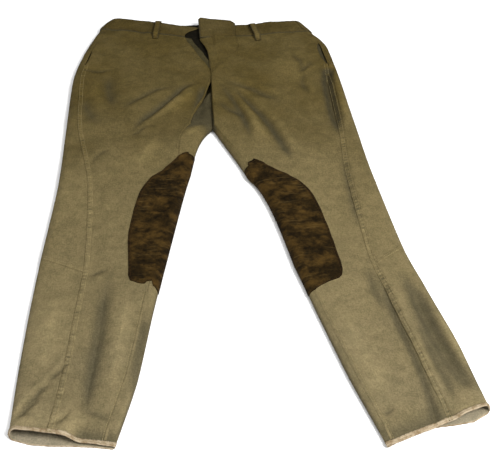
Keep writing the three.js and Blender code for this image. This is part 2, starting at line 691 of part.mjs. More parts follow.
for (const [side, sign] of [["right", -1], ["left", 1]]) {
  const near = ZIP.x + sign * (TOOTH.outer + SEAM);
  const far = near + sign * TAPE_WIDTH[side];
  const [left, right] = [Math.min(near, far), Math.max(near, far)];
  const tape = { left, right, bottom: ZIP.bottom - 2, top: ZIP.top + 8 };
  add(`${side}_zip_tape`, slab(tape, ZIP_Z, ZIP.tape), ZIP_TAPE_COLOUR);
  add(`${side}_zip_teeth`, combOf(sign), BRASS);
  const stopX = ZIP.x + sign * (TOOTH.outer - STOP.width / 2 + 0.2);
  const teethTop = ZIP.bottom + Math.floor((ZIP.top - ZIP.bottom) / TOOTH.pitch) * TOOTH.pitch;
  const stop = {
    left: stopX - STOP.width / 2, right: stopX + STOP.width / 2,
    bottom: teethTop + SEAM, top: teethTop + SEAM + STOP.length,
  };
  add(`${side}_zip_top_stop`, slab(stop, ZIP_Z, TOOTH.height + 0.6), BRASS);
}
const bottomStop = {
  left: ZIP.x - TOOTH.outer, right: ZIP.x + TOOTH.outer,
  bottom: ZIP.bottom - SEAM - STOP.length, top: ZIP.bottom - SEAM,
};
add("zip_bottom_stop", slab(bottomStop, ZIP_Z, TOOTH.height), BRASS);
add("zip_slider", sliderGeometry(), BRASS);
add("zip_pull", pullGeometry(), BRASS);

// The origin is the middle of the outline on the ground.
const box = new THREE.Box3().setFromObject(root);
root.position.set(-(box.min.x + box.max.x) / 2, -(box.min.y + box.max.y) / 2, -box.min.z);

export default root;
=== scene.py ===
"""Riding breeches laid flat on their back, front side up: the cloth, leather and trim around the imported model.

Sizes of the pieces are in millimetres, and every mesh is made in metres. The waist points towards +Y, the hems
towards -Y, and "right" and "left" are the wearer's, so the right leg lies on the -X side.
"""

import json
import logging
import math
from dataclasses import dataclass, field
from enum import Enum

import bpy
import numpy as np
from mathutils import Vector
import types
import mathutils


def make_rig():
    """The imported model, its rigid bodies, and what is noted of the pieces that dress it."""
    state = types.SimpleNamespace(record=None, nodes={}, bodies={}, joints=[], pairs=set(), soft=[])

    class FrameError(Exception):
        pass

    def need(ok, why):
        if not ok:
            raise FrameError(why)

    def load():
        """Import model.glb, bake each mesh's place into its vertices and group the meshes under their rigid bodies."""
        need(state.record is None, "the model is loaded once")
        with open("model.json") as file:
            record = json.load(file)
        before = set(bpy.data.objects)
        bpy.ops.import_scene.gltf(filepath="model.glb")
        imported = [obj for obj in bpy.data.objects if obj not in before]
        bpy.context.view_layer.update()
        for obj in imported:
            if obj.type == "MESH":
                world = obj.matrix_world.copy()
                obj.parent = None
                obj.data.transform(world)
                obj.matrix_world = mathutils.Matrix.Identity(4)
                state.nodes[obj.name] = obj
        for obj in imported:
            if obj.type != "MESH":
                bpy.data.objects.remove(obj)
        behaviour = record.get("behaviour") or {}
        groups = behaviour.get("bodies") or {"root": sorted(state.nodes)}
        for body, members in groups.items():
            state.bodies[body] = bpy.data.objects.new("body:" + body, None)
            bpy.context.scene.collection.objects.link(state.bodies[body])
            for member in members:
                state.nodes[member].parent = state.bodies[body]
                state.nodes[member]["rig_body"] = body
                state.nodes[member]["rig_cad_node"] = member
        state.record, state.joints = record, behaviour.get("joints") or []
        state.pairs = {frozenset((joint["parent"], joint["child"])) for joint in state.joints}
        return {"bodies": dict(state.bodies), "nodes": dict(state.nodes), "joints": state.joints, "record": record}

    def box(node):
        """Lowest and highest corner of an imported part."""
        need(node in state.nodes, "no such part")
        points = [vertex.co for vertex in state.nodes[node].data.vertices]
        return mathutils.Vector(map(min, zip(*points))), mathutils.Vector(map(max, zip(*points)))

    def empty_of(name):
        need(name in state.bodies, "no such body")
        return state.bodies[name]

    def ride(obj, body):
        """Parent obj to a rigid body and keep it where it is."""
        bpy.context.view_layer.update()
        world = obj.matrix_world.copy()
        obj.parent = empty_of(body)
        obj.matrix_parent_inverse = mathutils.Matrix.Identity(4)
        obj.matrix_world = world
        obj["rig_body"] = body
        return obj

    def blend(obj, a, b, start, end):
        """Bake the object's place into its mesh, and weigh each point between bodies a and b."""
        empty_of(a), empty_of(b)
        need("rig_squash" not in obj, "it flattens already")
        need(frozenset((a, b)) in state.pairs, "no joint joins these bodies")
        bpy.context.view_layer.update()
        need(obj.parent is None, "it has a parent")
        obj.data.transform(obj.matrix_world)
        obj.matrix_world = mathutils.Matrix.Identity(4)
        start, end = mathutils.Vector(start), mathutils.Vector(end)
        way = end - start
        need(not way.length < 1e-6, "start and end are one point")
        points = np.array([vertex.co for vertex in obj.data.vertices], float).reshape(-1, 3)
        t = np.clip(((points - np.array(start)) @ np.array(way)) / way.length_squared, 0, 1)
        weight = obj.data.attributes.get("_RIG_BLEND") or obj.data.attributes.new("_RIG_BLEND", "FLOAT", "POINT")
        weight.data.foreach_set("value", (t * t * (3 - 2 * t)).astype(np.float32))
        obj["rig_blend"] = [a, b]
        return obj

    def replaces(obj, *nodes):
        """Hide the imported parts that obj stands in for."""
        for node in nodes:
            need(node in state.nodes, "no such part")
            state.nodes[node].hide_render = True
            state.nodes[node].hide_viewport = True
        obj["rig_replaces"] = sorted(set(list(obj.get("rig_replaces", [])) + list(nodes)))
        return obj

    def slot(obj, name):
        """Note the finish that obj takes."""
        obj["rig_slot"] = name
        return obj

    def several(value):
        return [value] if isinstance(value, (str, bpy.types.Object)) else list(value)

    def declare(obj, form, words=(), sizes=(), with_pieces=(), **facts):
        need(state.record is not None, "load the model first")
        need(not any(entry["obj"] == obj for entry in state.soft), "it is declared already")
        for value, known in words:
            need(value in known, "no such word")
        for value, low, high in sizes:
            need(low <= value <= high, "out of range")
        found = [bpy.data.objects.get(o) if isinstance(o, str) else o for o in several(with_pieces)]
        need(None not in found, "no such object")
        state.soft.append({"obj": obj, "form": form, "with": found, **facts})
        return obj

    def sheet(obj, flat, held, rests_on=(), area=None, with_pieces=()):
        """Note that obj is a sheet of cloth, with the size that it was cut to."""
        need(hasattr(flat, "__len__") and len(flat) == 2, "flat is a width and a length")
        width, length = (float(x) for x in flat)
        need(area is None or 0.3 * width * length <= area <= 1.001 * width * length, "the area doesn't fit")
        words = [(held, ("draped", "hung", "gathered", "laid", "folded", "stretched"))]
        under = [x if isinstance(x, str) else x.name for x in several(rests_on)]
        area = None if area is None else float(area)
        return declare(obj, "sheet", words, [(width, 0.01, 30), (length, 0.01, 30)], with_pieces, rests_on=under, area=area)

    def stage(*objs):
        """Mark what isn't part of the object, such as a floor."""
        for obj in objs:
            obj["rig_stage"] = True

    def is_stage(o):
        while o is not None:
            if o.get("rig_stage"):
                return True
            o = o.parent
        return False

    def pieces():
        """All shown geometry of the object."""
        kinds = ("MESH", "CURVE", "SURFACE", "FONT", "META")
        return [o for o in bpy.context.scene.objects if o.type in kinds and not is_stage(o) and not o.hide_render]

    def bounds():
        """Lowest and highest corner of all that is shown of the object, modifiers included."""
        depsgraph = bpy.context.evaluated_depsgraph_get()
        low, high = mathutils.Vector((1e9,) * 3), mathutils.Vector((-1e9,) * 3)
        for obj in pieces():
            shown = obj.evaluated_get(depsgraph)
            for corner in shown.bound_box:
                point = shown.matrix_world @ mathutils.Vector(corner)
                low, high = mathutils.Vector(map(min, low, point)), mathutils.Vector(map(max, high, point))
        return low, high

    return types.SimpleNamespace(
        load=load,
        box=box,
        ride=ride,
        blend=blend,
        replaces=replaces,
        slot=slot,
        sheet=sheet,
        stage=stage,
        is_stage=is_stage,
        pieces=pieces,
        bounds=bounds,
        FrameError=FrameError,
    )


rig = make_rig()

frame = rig.load()
CAD_BOX = [list(corner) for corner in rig.bounds()]

logging.basicConfig(level=logging.INFO, format="%(message)s")
log = logging.getLogger("breeches")

MM = 0.001
TURN = 6.2832  # one wave of a rib, in radians
UP = (0.0, 0.0, 1.0)
CLOTH = 1.1  # thickness of the twill
FLOOR = 0.15  # underside of the back panels
EDGE_SHARE = 0.42  # height of the outermost edge, as a share of the height of the front
SHOULDER = 13.0  # where the front rolls over at the outer edge
FLOOR_ROLL = 6.0  # where the side meets the floor
SHARPEST = 0.5  # smallest roll of an inner edge
TENSION = 0.35  # slope of a curve at a point, as a share of the difference of its neighbours
FOLD_GAIN = 1.5  # how much deeper the cloth's folds are than they are listed
FOLD_FADE = 0.35  # share of a fold's length over which a closed end fades out
SIDE_ARC = 1.0 - EDGE_SHARE
KNEE_REACH = 0.045  # metres over which the cloth turns at a knee
KNEE_SLANT = 0.24  # stations that the back's knee seam drops from the outseam to the edge
FLY_HINGE = (0.046, 0.370, 0.02)  # where the flap starts to turn, in metres
FLY_TURNED = (0.046 - 0.0386, 0.370 + 0.0231, 0.02)  # where it has turned fully
FRONT_COLUMNS, BACK_COLUMNS, ROUND_COLUMNS, BAND_COLUMNS, BAND_ROWS = 92, 136, 380, 210, 26
WAIST_SEAM, FLY_BASE, CROTCH, KNEE, HEM = 1.0, 3.0, 4.0, 6.0, 9.0  # stations down a leg
BACK_CENTRE = [(-6, 462), (-6, 424), (-6, 366), (-6, 290)]  # of the back, at the stations above the crotch

Array = np.ndarray
Material, Object, Tree = bpy.types.Material, bpy.types.Object, bpy.types.NodeTree
Colour = tuple[float, float, float, float]


class Side(Enum):
    """Which half of the breeches a piece belongs to, as the wearer says it."""

    RIGHT = "right"
    LEFT = "left"


# ---------------------------------------------------------------- curves and relief


def smoothstep(t: Array) -> Array:
    """A soft step: 0 below 0, 1 above 1, and 3t^2 - 2t^3 between."""
    t = np.clip(t, 0.0, 1.0)
    return t * t * (3.0 - 2.0 * t)


def unit(vectors: Array) -> Array:
    """The vectors at length one."""
    return vectors / np.maximum(np.linalg.norm(vectors, axis=-1, keepdims=True), 1e-9)


def gone_along(path: Array) -> Array:
    """The length from the first point of a path to each of its points."""
    return np.concatenate([[0], np.cumsum(np.linalg.norm(np.diff(path, axis=0), axis=1))])


def through(x: Array, ys: Array) -> Array:
    """A smooth curve through values at whole numbers.

    Each stretch is a cubic with the slope 0.35 times the difference of its neighbours' values, and at the two ends
    0.7 times the first or last difference.

    Args:
        x: where to take the curve, from 0 to the number of the last value.
        ys: the values, one row each.

    Returns:
        The curve's values, with the last axis of ys kept.
    """
    ys = np.asarray(ys, float)
    slopes = np.empty_like(ys)
    slopes[1:-1] = TENSION * (ys[2:] - ys[:-2])
    slopes[0] = 2 * TENSION * (ys[1] - ys[0])
    slopes[-1] = 2 * TENSION * (ys[-1] - ys[-2])
    i = np.clip(np.floor(x).astype(int), 0, len(ys) - 2)
    t = (np.asarray(x, float) - i).reshape(i.shape + (1,) * (ys.ndim - 1))
    start, end = (2 * t**3 - 3 * t**2 + 1) * ys[i], (3 * t**2 - 2 * t**3) * ys[i + 1]
    return start + (t**3 - 2 * t**2 + t) * slopes[i] + end + (t**3 - t**2) * slopes[i + 1]


@dataclass(frozen=True)
class Fold:
    """A ridge or a valley in laid cloth, along a bent line in plan.

    Attributes:
        path: points of the line, in millimetres.
        rise: height at its middle, negative for a valley.
        width: distance over which it falls to a third.
        lean: share of the rise that the cloth beside it moves the other way, on the left of the path.
        open_start: it keeps its height at its first point.
        open_end: it keeps its height at its last point.
    """

    path: tuple
    rise: float
    width: float
    lean: float = 0.0
    open_start: bool = False
    open_end: bool = False

    def height(self, x: Array, y: Array) -> Array:
        """The fold's height over points in plan.

        The distance d to the line, in widths, gives rise * (0.62 exp(-d^2) + 0.38 exp(-2.2 d)), fading out towards
        closed ends, less lean * rise * exp(-(d - 1.5)^2) on the left side.
        """
        points = np.asarray(self.path, float)
        bent = through(np.linspace(0, len(points) - 1, 4 * (len(points) - 1) + 1), points)
        total = np.zeros_like(x)
        reach = 3.2 * self.width
        low, high = bent.min(0) - reach, bent.max(0) + reach
        near = (x > low[0]) & (x < high[0]) & (y > low[1]) & (y < high[1])
        if not near.any():
            return total
        px, py = x[near], y[near]
        best = np.full(px.shape, 1e9)
        along, side = np.zeros_like(best), np.zeros_like(best)
        for k, (a, b) in enumerate(zip(bent[:-1], bent[1:])):
            d = b - a
            t = np.clip(((px - a[0]) * d[0] + (py - a[1]) * d[1]) / (d @ d), 0, 1)
            rx, ry = px - a[0] - t * d[0], py - a[1] - t * d[1]
            dist = np.hypot(rx, ry)
            closer = dist < best
            best = np.where(closer, dist, best)
            along = np.where(closer, (k + t) / (len(bent) - 1), along)
            side = np.where(closer, np.sign(d[0] * ry - d[1] * rx), side)
        fade = np.ones_like(best)
        if not self.open_start:
            fade *= smoothstep(along / FOLD_FADE)
        if not self.open_end:
            fade *= smoothstep((1 - along) / FOLD_FADE)
        away = best / self.width
        shape = 0.62 * np.exp(-(away**2)) + 0.38 * np.exp(-2.2 * away)
        beside = np.exp(-((side * best - 1.5 * self.width) / self.width) ** 2)
        total[near] = self.rise * fade * (shape - self.lean * beside)
        return total


@dataclass(frozen=True)
class Swell:
    """Gentle unevenness of laid cloth: a sum of plane waves with seeded directions, lengths and phases."""

    seed: int
    shortest: float
    longest: float
    height: float
    waves: int = 14

    def at(self, x: Array, y: Array) -> Array:
        """The height over points in plan, in millimetres."""
        rng = np.random.default_rng(self.seed)
        total = np.zeros_like(x)
        for _ in range(self.waves):
            length = self.shortest * (self.longest / self.shortest) ** rng.random()
            turn, phase = rng.random(2) * 2 * math.pi
            wave = 2 * math.pi / length
            total += np.sin(wave * (x * math.cos(turn) + y * math.sin(turn)) + phase) * length
        return total * self.height / (self.longest * math.sqrt(self.waves))


def ripple(along: Array, pitch: float, seed: int) -> Array:
    """Uneven puckers along a seam: sines of nearly the same pitch that drift in and out of step."""
    rng = np.random.default_rng(seed)
    total = np.zeros_like(along)
    for _ in range(6):
        total += np.sin(2 * math.pi * along / (pitch * rng.uniform(0.7, 1.5)) + rng.uniform(0, 6.28))
    return total / 2.4


# ---------------------------------------------------------------- the form of a leg


@dataclass
class LegForm:
    """The laid shape of one half: a flattened tube from the waist to the hem.

    Stations run from the waist's top edge to the hem. A place on the tube is a station number v and a turn q round
    the section: 0 to 1 across the front from the inner to the outer side, 1 to 2 round the outer edge, 2 to 3 back
    across the floor, and 3 to 4 (or -1 to 0) up round the inner edge. The lists hold one point or size a station.

    Attributes:
        side: which half it is.
        outer: points of the outer edge.
        front: points of the front's inner edge.
        height: of the front over the floor.
        outseam: distance of the outseam from the outer edge.
        inseam: distance of the inseam from the inner edge.
        roll: width over which the front rolls down at the inner edge.
        folds: of the front.
        mouth: first and last station of the pocket's mouth, and how far it gapes.
        swells: broad and fine unevenness of the front.
        nip: the station from which the inner edge draws in, and by how much.
        trail: how far the underside reaches past the hem, from the outer to the inner edge.
    """

    side: Side
    outer: list
    front: list
    height: list
    outseam: list
    inseam: list
    roll: list
    folds: tuple
    mouth: tuple
    swells: tuple
    nip: tuple
    trail: tuple

    @property
    def back(self) -> list:
        """Points of the back's inner edge, which is the front's from the crotch down."""
        return BACK_CENTRE + self.front[int(CROTCH):]

    @property
    def hem_way(self) -> Array:
        """The way down the outer edge from the last station but one to the hem."""
        return np.subtract(self.outer[9], self.outer[8], dtype=float)

    def inner_line(self, v: Array, points: list) -> Array:
        """An inner edge: straight between the stations above the crotch, a curve below it."""
        pts = np.asarray(points, float)
        low = np.clip(np.floor(v).astype(int), 0, len(pts) - 2)
        t = (v - low)[..., None]
        straight = pts[low] * (1 - t) + pts[low + 1] * t
        first = int(CROTCH)
        curved = through(np.clip(v - first, 0, None), pts[first:])
        t = np.clip(v - self.nip[0], 0, 1)
        curved[..., 0] += (-1 if self.side is Side.RIGHT else 1) * self.nip[1] * 6.75 * t * (1 - t) ** 2
        return np.where((v >= CROTCH)[..., None], curved, straight)

    def on_row(self, v: Array, s: Array) -> Array:
        """Points in plan at distances s from the front's inner edge, one row for each station."""
        start = self.inner_line(v, self.front)
        return start[:, None] + unit(through(v, self.outer) - start)[:, None] * s[..., None]

    def width(self, v: Array) -> Array:
        """Distance from the inner to the outer edge along a row."""
        return np.hypot(*np.moveaxis(through(v, self.outer) - self.inner_line(v, self.front), -1, 0))

    def rolled(self, v: Array) -> Array:
        """Width over which the front rolls down at the inner edge."""
        return np.maximum(through(v, self.roll), SHARPEST)

    def foot(self, v: Array) -> Array:
        """Width over which the inner side meets the floor, below the fly."""
        return FLOOR_ROLL * smoothstep(v - FLY_BASE)

    def turn(self, v: Array, inset: Array, from_outer: bool = False) -> Array:
        """The turn q of a place on the front that lies inset millimetres in from the inner or the outer edge."""
        roll = self.rolled(v)
        flat = self.width(v) - roll - SHOULDER
        if from_outer:
            cap = 1 + np.arcsin(np.clip(1 - inset / SHOULDER, 0, 1)) / math.pi
            return np.where(inset >= SHOULDER, 1 - (inset - SHOULDER) / flat, cap)
        cap = -np.arcsin(np.clip(1 - inset / roll, 0, 1)) / math.pi
        return np.where(inset >= roll, (inset - roll) / flat, cap)

    def creased(self, x: Array, y: Array) -> Array:
        """Height of the folds alone."""
        return sum((FOLD_GAIN * fold.height(x, y) for fold in self.folds), np.zeros_like(x))

    def relief(self, x: Array, y: Array) -> Array:
        """Height of all folds and swells over points in plan."""
        return sum((s.at(x, y) for s in self.swells), self.creased(x, y))

    def shade(self, grid: Array) -> Array:
        """Painted light of the cloth: painted highlight on fold ridges, painted shade in fold valleys and on the sides
        that turn down to the floor.
        """
        x, y, z = np.moveaxis(grid, -1, 0)
        top = smoothstep((z - 7.0) / 5.0)
        # Painted shade and highlight follow the folds' heights; below about 12 mm the cloth takes painted shade as it
        # turns down.
        return np.clip(self.creased(x, y) / 6.5, -0.9, 0.5) * top - 0.6 * (1 - top)

    def at(self, v: Array, q: Array, lift: float | Array = 0.0, sink: float | Array = 0.0) -> Array:
        """Points of the outer surface.

        Across the front the distance s from the inner edge grows evenly at the full height; each edge is a quarter
        ellipse down to the edge's height and another to the floor. The relief is added in proportion to height. A
        lift moves the front up, the sides out and the underside down.

        Args:
            v: station numbers.
            q: turns round the section, any shape that broadcasts with v.
            lift: distance outside the surface.
            sink: how far the front is lowered.

        Returns:
            Points in millimetres, shape (..., 3).
        """
        v, q, lift, sink = np.broadcast_arrays(*(np.asarray(a, float) for a in (v, q, lift, sink)))
        q = np.mod(q + 1, 4) - 1
        outer = through(v, self.outer)
        behind = (q > 1.5) | (q < -0.5)
        start = np.where(behind[..., None], self.inner_line(v, self.back), self.inner_line(v, self.front))
        width = np.hypot(*(np.moveaxis(outer - start, -1, 0)))
        high = through(v, self.height) + CLOTH / 2
        low = FLOOR + 1.8 * (v < WAIST_SEAM)
        edge = low + (high - low) * EDGE_SHARE
        roll, foot = self.rolled(v), self.foot(v)
        a, b = np.pi * (q - 1), np.pi * (q - 1.5)
        c, d = -np.pi * q, np.pi * (-q - 0.5)
        cases = [q <= -0.5, q <= 0, q <= 1, q <= 1.5, q <= 2]
        s = np.select(
            cases,
            [
                foot * (1 - np.cos(d)),
                roll * (1 - np.sin(c)),
                roll + (width - roll - SHOULDER) * q,
                width - SHOULDER * (1 - np.sin(a)),
                width - FLOOR_ROLL * (1 - np.cos(b)),
            ],
            width - FLOOR_ROLL - (width - FLOOR_ROLL - foot) * (q - 2),
        )
        rises = [edge + (high - edge) * np.cos(c), high, edge + (high - edge) * np.cos(a)]
        falls = [edge - (edge - low) * np.sin(angle) for angle in (d, b)]
        z = np.select(cases, [falls[0], *rises, falls[1]], low)
        across = (outer - start) / width[..., None]
        xy = start + across * s[..., None]
        share = np.clip((z - edge) / (high - edge), 0, 1)
        upright = 0.35 + 0.65 * np.clip(np.abs(z - edge) / 4, 0, 1)
        z = z + share * (self.relief(xy[..., 0], xy[..., 1]) - sink) + lift * np.where(behind, -1, 1) * upright
        outwards = lift * (1 - share) * ~behind * np.select([q < 0.0, q > 1.0], [-1.0, 1.0], 0.0)
        xy = xy + across * outwards[..., None]
        under = smoothstep((q - 1.3) / 0.6) + smoothstep((-0.5 - q) / 0.4)
        reach = np.interp(1 - s / width, np.linspace(0, 1, len(self.trail)), self.trail)
        xy = xy + unit(self.hem_way) * (reach * under * smoothstep((v - 8.5) / 0.45))[..., None]
        return np.concatenate([xy, np.maximum(z, 0.05)[..., None]], -1)

    def spread(self, v: Array, first: Array, last: Array, count: int) -> Array:
        """Turns that divide each row evenly by length between two turns.

        The length round the section is a sum over its stretches: the cap, the front, the cap, the floor and so on.

        Args:
            v: station numbers, one a row.
            first: turn at the start of each row.
            last: turn at its end.
            count: of columns.
        """
        knots = np.array([-1, -0.5, 0, 1, 1.5, 2, 3, 3.5, 4, 5])
        width, roll, foot, high = self.width(v), self.rolled(v), self.foot(v), through(v, self.height)
        flat, below = width - roll - SHOULDER, width - FLOOR_ROLL - foot
        inner, outer = np.hypot(roll, SIDE_ARC * high), np.hypot(SHOULDER, SIDE_ARC * high)
        low_in, low_out = np.hypot(foot, EDGE_SHARE * high), np.hypot(FLOOR_ROLL, EDGE_SHARE * high)
        lengths = np.stack([low_in, inner, flat, outer, low_out, below, low_in, inner, flat])
        before = np.concatenate([np.zeros((1, len(v))), np.cumsum(lengths, 0)])
        spans = np.diff(knots)[:, None]
        a, b = (((lengths * np.clip((q - knots[:-1, None]) / spans, 0, 1)).sum(0)) for q in (first, last))
        at = a[:, None] + (b - a)[:, None] * np.linspace(0, 1, count)
        share = np.clip((at - before[:-1, :, None]) / np.maximum(lengths[..., None], 1e-6), 0, 1)
        return -1 + (spans[..., None] * share).sum(0)

    def rows(self, start: float, end: float, step: float) -> Array:
        """Station numbers from start to end that lie about step millimetres apart along the outer edge."""
        fine = np.linspace(start, end, 600)
        length = gone_along(through(fine, self.outer))
        count = max(2, int(round(length[-1] / step)) + 1)
        return np.interp(np.linspace(0, length[-1], count), length, fine)

    def gape(self, v: Array) -> Array:
        """How far the front's edge draws back from the outseam at the pocket's mouth."""
        first, last, wide = self.mouth
        t = np.clip((v - first) / (last - first), 0, 1)
        return wide * np.sin(np.pi * t) ** 0.6


# ---------------------------------------------------------------- meshes from grids


def normals_of(grid: Array, around: bool = False, flip: bool = False) -> Array:
    """Unit normals of a grid of points: the cross product of its two differences.

    Args:
        grid: points, shape (rows, columns, 3).
        around: the last column joins the first.
        flip: the visible side is the other one of the grid.
    """
    across = np.roll(grid, -1, 1) - np.roll(grid, 1, 1) if around else np.gradient(grid, axis=1)
    return unit(np.cross(across, np.gradient(grid, axis=0))) * (-1 if flip else 1)


def lengths_of(grid: Array, last: bool = False) -> Array:
    """For each point its distance along the row and along the column, in metres, as texture coordinates.

    Args:
        grid: points, shape (rows, columns, 3), in millimetres.
        last: rows are measured from their last point, not their first.
    """
    across = np.linalg.norm(np.diff(grid, axis=1), axis=-1)
    down = np.linalg.norm(np.diff(grid, axis=0), axis=-1)
    u = np.concatenate([np.zeros((len(grid), 1)), np.cumsum(across, 1)], 1)
    w = np.concatenate([np.zeros((1, grid.shape[1])), np.cumsum(down, 0)], 0)
    u = u - u[:, -1:] if last else u
    return np.stack([u, w], -1) * MM


def mesh_object(name: str, points: Array, faces: Array, uv: Array, material: Material) -> Object:
    """An object from points in millimetres, quads and one texture coordinate for each point."""
    mesh = bpy.data.meshes.new(name)
    mesh.from_pydata((points * MM).tolist(), [], faces.tolist())
    layer = mesh.uv_layers.new(name="UVMap")
    index = np.empty(len(mesh.loops), np.int32)
    mesh.loops.foreach_get("vertex_index", index)
    layer.data.foreach_set("uv", uv[index].astype(np.float32).ravel())
    mesh.polygons.foreach_set("use_smooth", np.ones(len(mesh.polygons), bool))
    mesh.materials.append(material)
    mesh.update()
    made = bpy.data.objects.new(name, mesh)
    bpy.context.scene.collection.objects.link(made)
    return made


def shell(name: str, grid: Array, thickness: float, material: Material, around: bool = False, flip: bool = False,
          last: bool = False, tone: Array | None = None) -> Object:
    """A closed sheet of even thickness under a grid of points.

    The underside is each point less its normal times the thickness. Quads join both sides and the border.

    Args:
        name: the piece's name.
        grid: the visible side, shape (rows, columns, 3), in millimetres.
        thickness: of the cloth.
        material: its finish.
        around: the last column joins the first.
        flip: the visible side is the other one of the grid.
        last: the cloth's grain is measured from the last column.
        tone: painted highlight (above 0) and painted shade (below 0) at each point.
    """
    uv = lengths_of(grid, last).reshape(-1, 2)
    under = grid - normals_of(grid, around, flip) * thickness
    n = grid.shape[0] * grid.shape[1]
    ids = np.arange(n).reshape(grid.shape[:2])
    wide = np.concatenate([ids, ids[:, :1]], 1) if around else ids
    face = np.stack([wide[:-1, :-1], wide[:-1, 1:], wide[1:, 1:], wide[1:, :-1]], -1).reshape(-1, 4)
    borders = [(wide[0, :-1], wide[0, 1:]), (wide[-1, 1:], wide[-1, :-1])]
    if not around:
        borders += [(wide[1:, 0], wide[:-1, 0]), (wide[:-1, -1], wide[1:, -1])]
    sides = [np.stack([r, p, p + n, r + n], -1) for p, r in borders]
    faces = np.concatenate([face, face[:, ::-1] + n, *sides])
    points = np.concatenate([grid.reshape(-1, 3), under.reshape(-1, 3)])
    made = mesh_object(name, points, faces[:, ::-1] if flip else faces, np.concatenate([uv, uv]), material)
    if tone is not None:
        layer = made.data.attributes.new("tone", "FLOAT", "POINT")
        layer.data.foreach_set("value", np.tile(tone.ravel(), 2).astype(np.float32))
    return made


def stitch_row(path: Array, normal: Array, pitch: float, length: float, width: float) -> tuple[Array, Array]:
    """Stitches along a path: each a low grain of thread with a blunt ridge.

    A grain has a ring of four points at each of three places along it, and they are carried along by the path's
    direction, the surface's normal and the direction across.

    Args:
        path: points on the surface, in millimetres.
        normal: the surface's unit normals there.
        pitch: from one stitch to the next.
        length: of one stitch.
        width: of the thread.

    Returns:
        Points and quads.
    """
    gone = gone_along(path)
    count = int(gone[-1] / pitch)
    if count < 1:
        return np.zeros((0, 3)), np.zeros((0, 4), int)

    def sample(values: Array, places: Array) -> Array:
        """The vectors at distances along the path."""
        return np.stack([np.interp(places, gone, values[:, k]) for k in range(3)], 1)

    at = (np.arange(count) + 0.5) * gone[-1] / count
    centre, up = sample(path, at), unit(sample(normal, at))
    forward = unit(sample(path, at + 0.6) - sample(path, at - 0.6))
    across = np.cross(forward, up)
    places = np.array([-0.5, 0.0, 0.5]) * length
    girth = np.array([0.55, 1.0, 0.55]) * width
    ring = np.array([[-0.5, -0.25], [-0.32, 0.45], [0.32, 0.45], [0.5, -0.25]])
    parts = [
        centre[:, None] + p * forward[:, None] + g * (ring[:, :1] * across[:, None] + ring[:, 1:] * up[:, None])
        for p, g in zip(places, girth)
    ]
    quads = [[3, 2, 1, 0], [8, 9, 10, 11]]
    for k in (0, 4):
        quads += [[k + i, k + (i + 1) % 4, k + 4 + (i + 1) % 4, k + 4 + i] for i in range(4)]
    faces = np.asarray(quads)[None] + (np.arange(count) * 12)[:, None, None]
    return np.concatenate(parts, 1).reshape(-1, 3), faces.reshape(-1, 4)


def flat_line(path: Array, raised: float = 0.1) -> tuple[Array, Array]:
    """A line of stitches on cloth that lies level: the path a little higher, with normals that point up."""
    return path + (0, 0, raised), np.tile(UP, (len(path), 1))


# ---------------------------------------------------------------- finishes


class Wiring:
    """Short ways to place and join nodes in one tree."""

    def __init__(self, tree: Tree) -> None:
        """Keeps the tree."""
        self.tree = tree

    def node(self, kind: str, links: dict | None = None, **settings: object) -> bpy.types.Node:
        """A node with its settings, and its inputs set to values or linked from sockets.

        Args:
            kind: the node's type, without its prefix.
            links: input name or number -> a value or an output socket.
            **settings: attributes of the node.
        """
        made = self.tree.nodes.new("ShaderNode" + kind)
        for key, value in settings.items():
            setattr(made, key, value)
        self.join(made, links or {})
        return made

    def join(self, node: bpy.types.Node, links: dict) -> None:
        """Sets a node's inputs to values, or links them from output sockets."""
        for key, value in links.items():
            if isinstance(value, bpy.types.NodeSocket):
                self.tree.links.new(value, node.inputs[key])
            else:
                node.inputs[key].default_value = value

    def noise(self, vector: object, scale: float, detail: float = 4.0, rough: float = 0.55) -> object:
        """A noise value between 0 and 1."""
        grain = {"Vector": vector, "Scale": scale, "Detail": detail, "Roughness": rough}
        return self.node("TexNoise", grain).outputs[0]

    def band(self, value: object, low: float, high: float, to_low: float = 0.0, to_high: float = 1.0) -> object:
        """A value carried from one range to another, held at both ends."""
        return self.node(
            "MapRange", {0: value, 1: low, 2: high, 3: to_low, 4: to_high}, interpolation_type="SMOOTHSTEP"
        ).outputs[0]

    def math(self, how: str, a: object, b: object = 0.0) -> object:
        """One sum on values."""
        return self.node("Math", {0: a, 1: b}, operation=how).outputs[0]

    def times(self, a: object, b: object) -> object:
        """A product."""
        return self.math("MULTIPLY", a, b)

    def plus(self, a: object, b: object) -> object:
        """A sum."""
        return self.math("ADD", a, b)

    def mix(self, factor: object, a: object, b: object, how: str = "MIX") -> object:
        """Two colours mixed by a factor."""
        return self.node("Mix", {0: factor, 6: a, 7: b}, data_type="RGBA", blend_type=how).outputs[2]

    def scaled(self, vector: object, scale: tuple, turn: float = 0.0) -> object:
        """A vector turned about Z and stretched."""
        return self.node("Mapping", {0: vector, 2: (0.0, 0.0, turn), 3: scale}).outputs[0]

    def shaded(self, colour: object, value: object) -> object:
        """A colour multiplied by a value."""
        grey = self.node("CombineXYZ", {0: value, 1: value, 2: value}).outputs[0]
        return self.mix(1.0, colour, grey, "MULTIPLY")


class Effect(Wiring):
    """A shared effect: a node group with named inputs and outputs."""

    def __init__(self, name: str, inputs: dict, outputs: tuple) -> None:
        """Builds the group's outside.

        Args:
            name: of the group.
            inputs: name -> kind and value of an input; a vector has no value.
            outputs: names of the values that it puts out.
        """
        super().__init__(bpy.data.node_groups.new(name, "ShaderNodeTree"))
        for key, (kind, value) in inputs.items():
            made = self.tree.interface.new_socket(key, in_out="INPUT", socket_type="NodeSocket" + kind)
            if value is not None:
                made.default_value = value
        for key in outputs:
            self.tree.interface.new_socket(key, in_out="OUTPUT", socket_type="NodeSocketFloat")
        self.given = self.tree.nodes.new("NodeGroupInput").outputs
        self.end = self.tree.nodes.new("NodeGroupOutput")


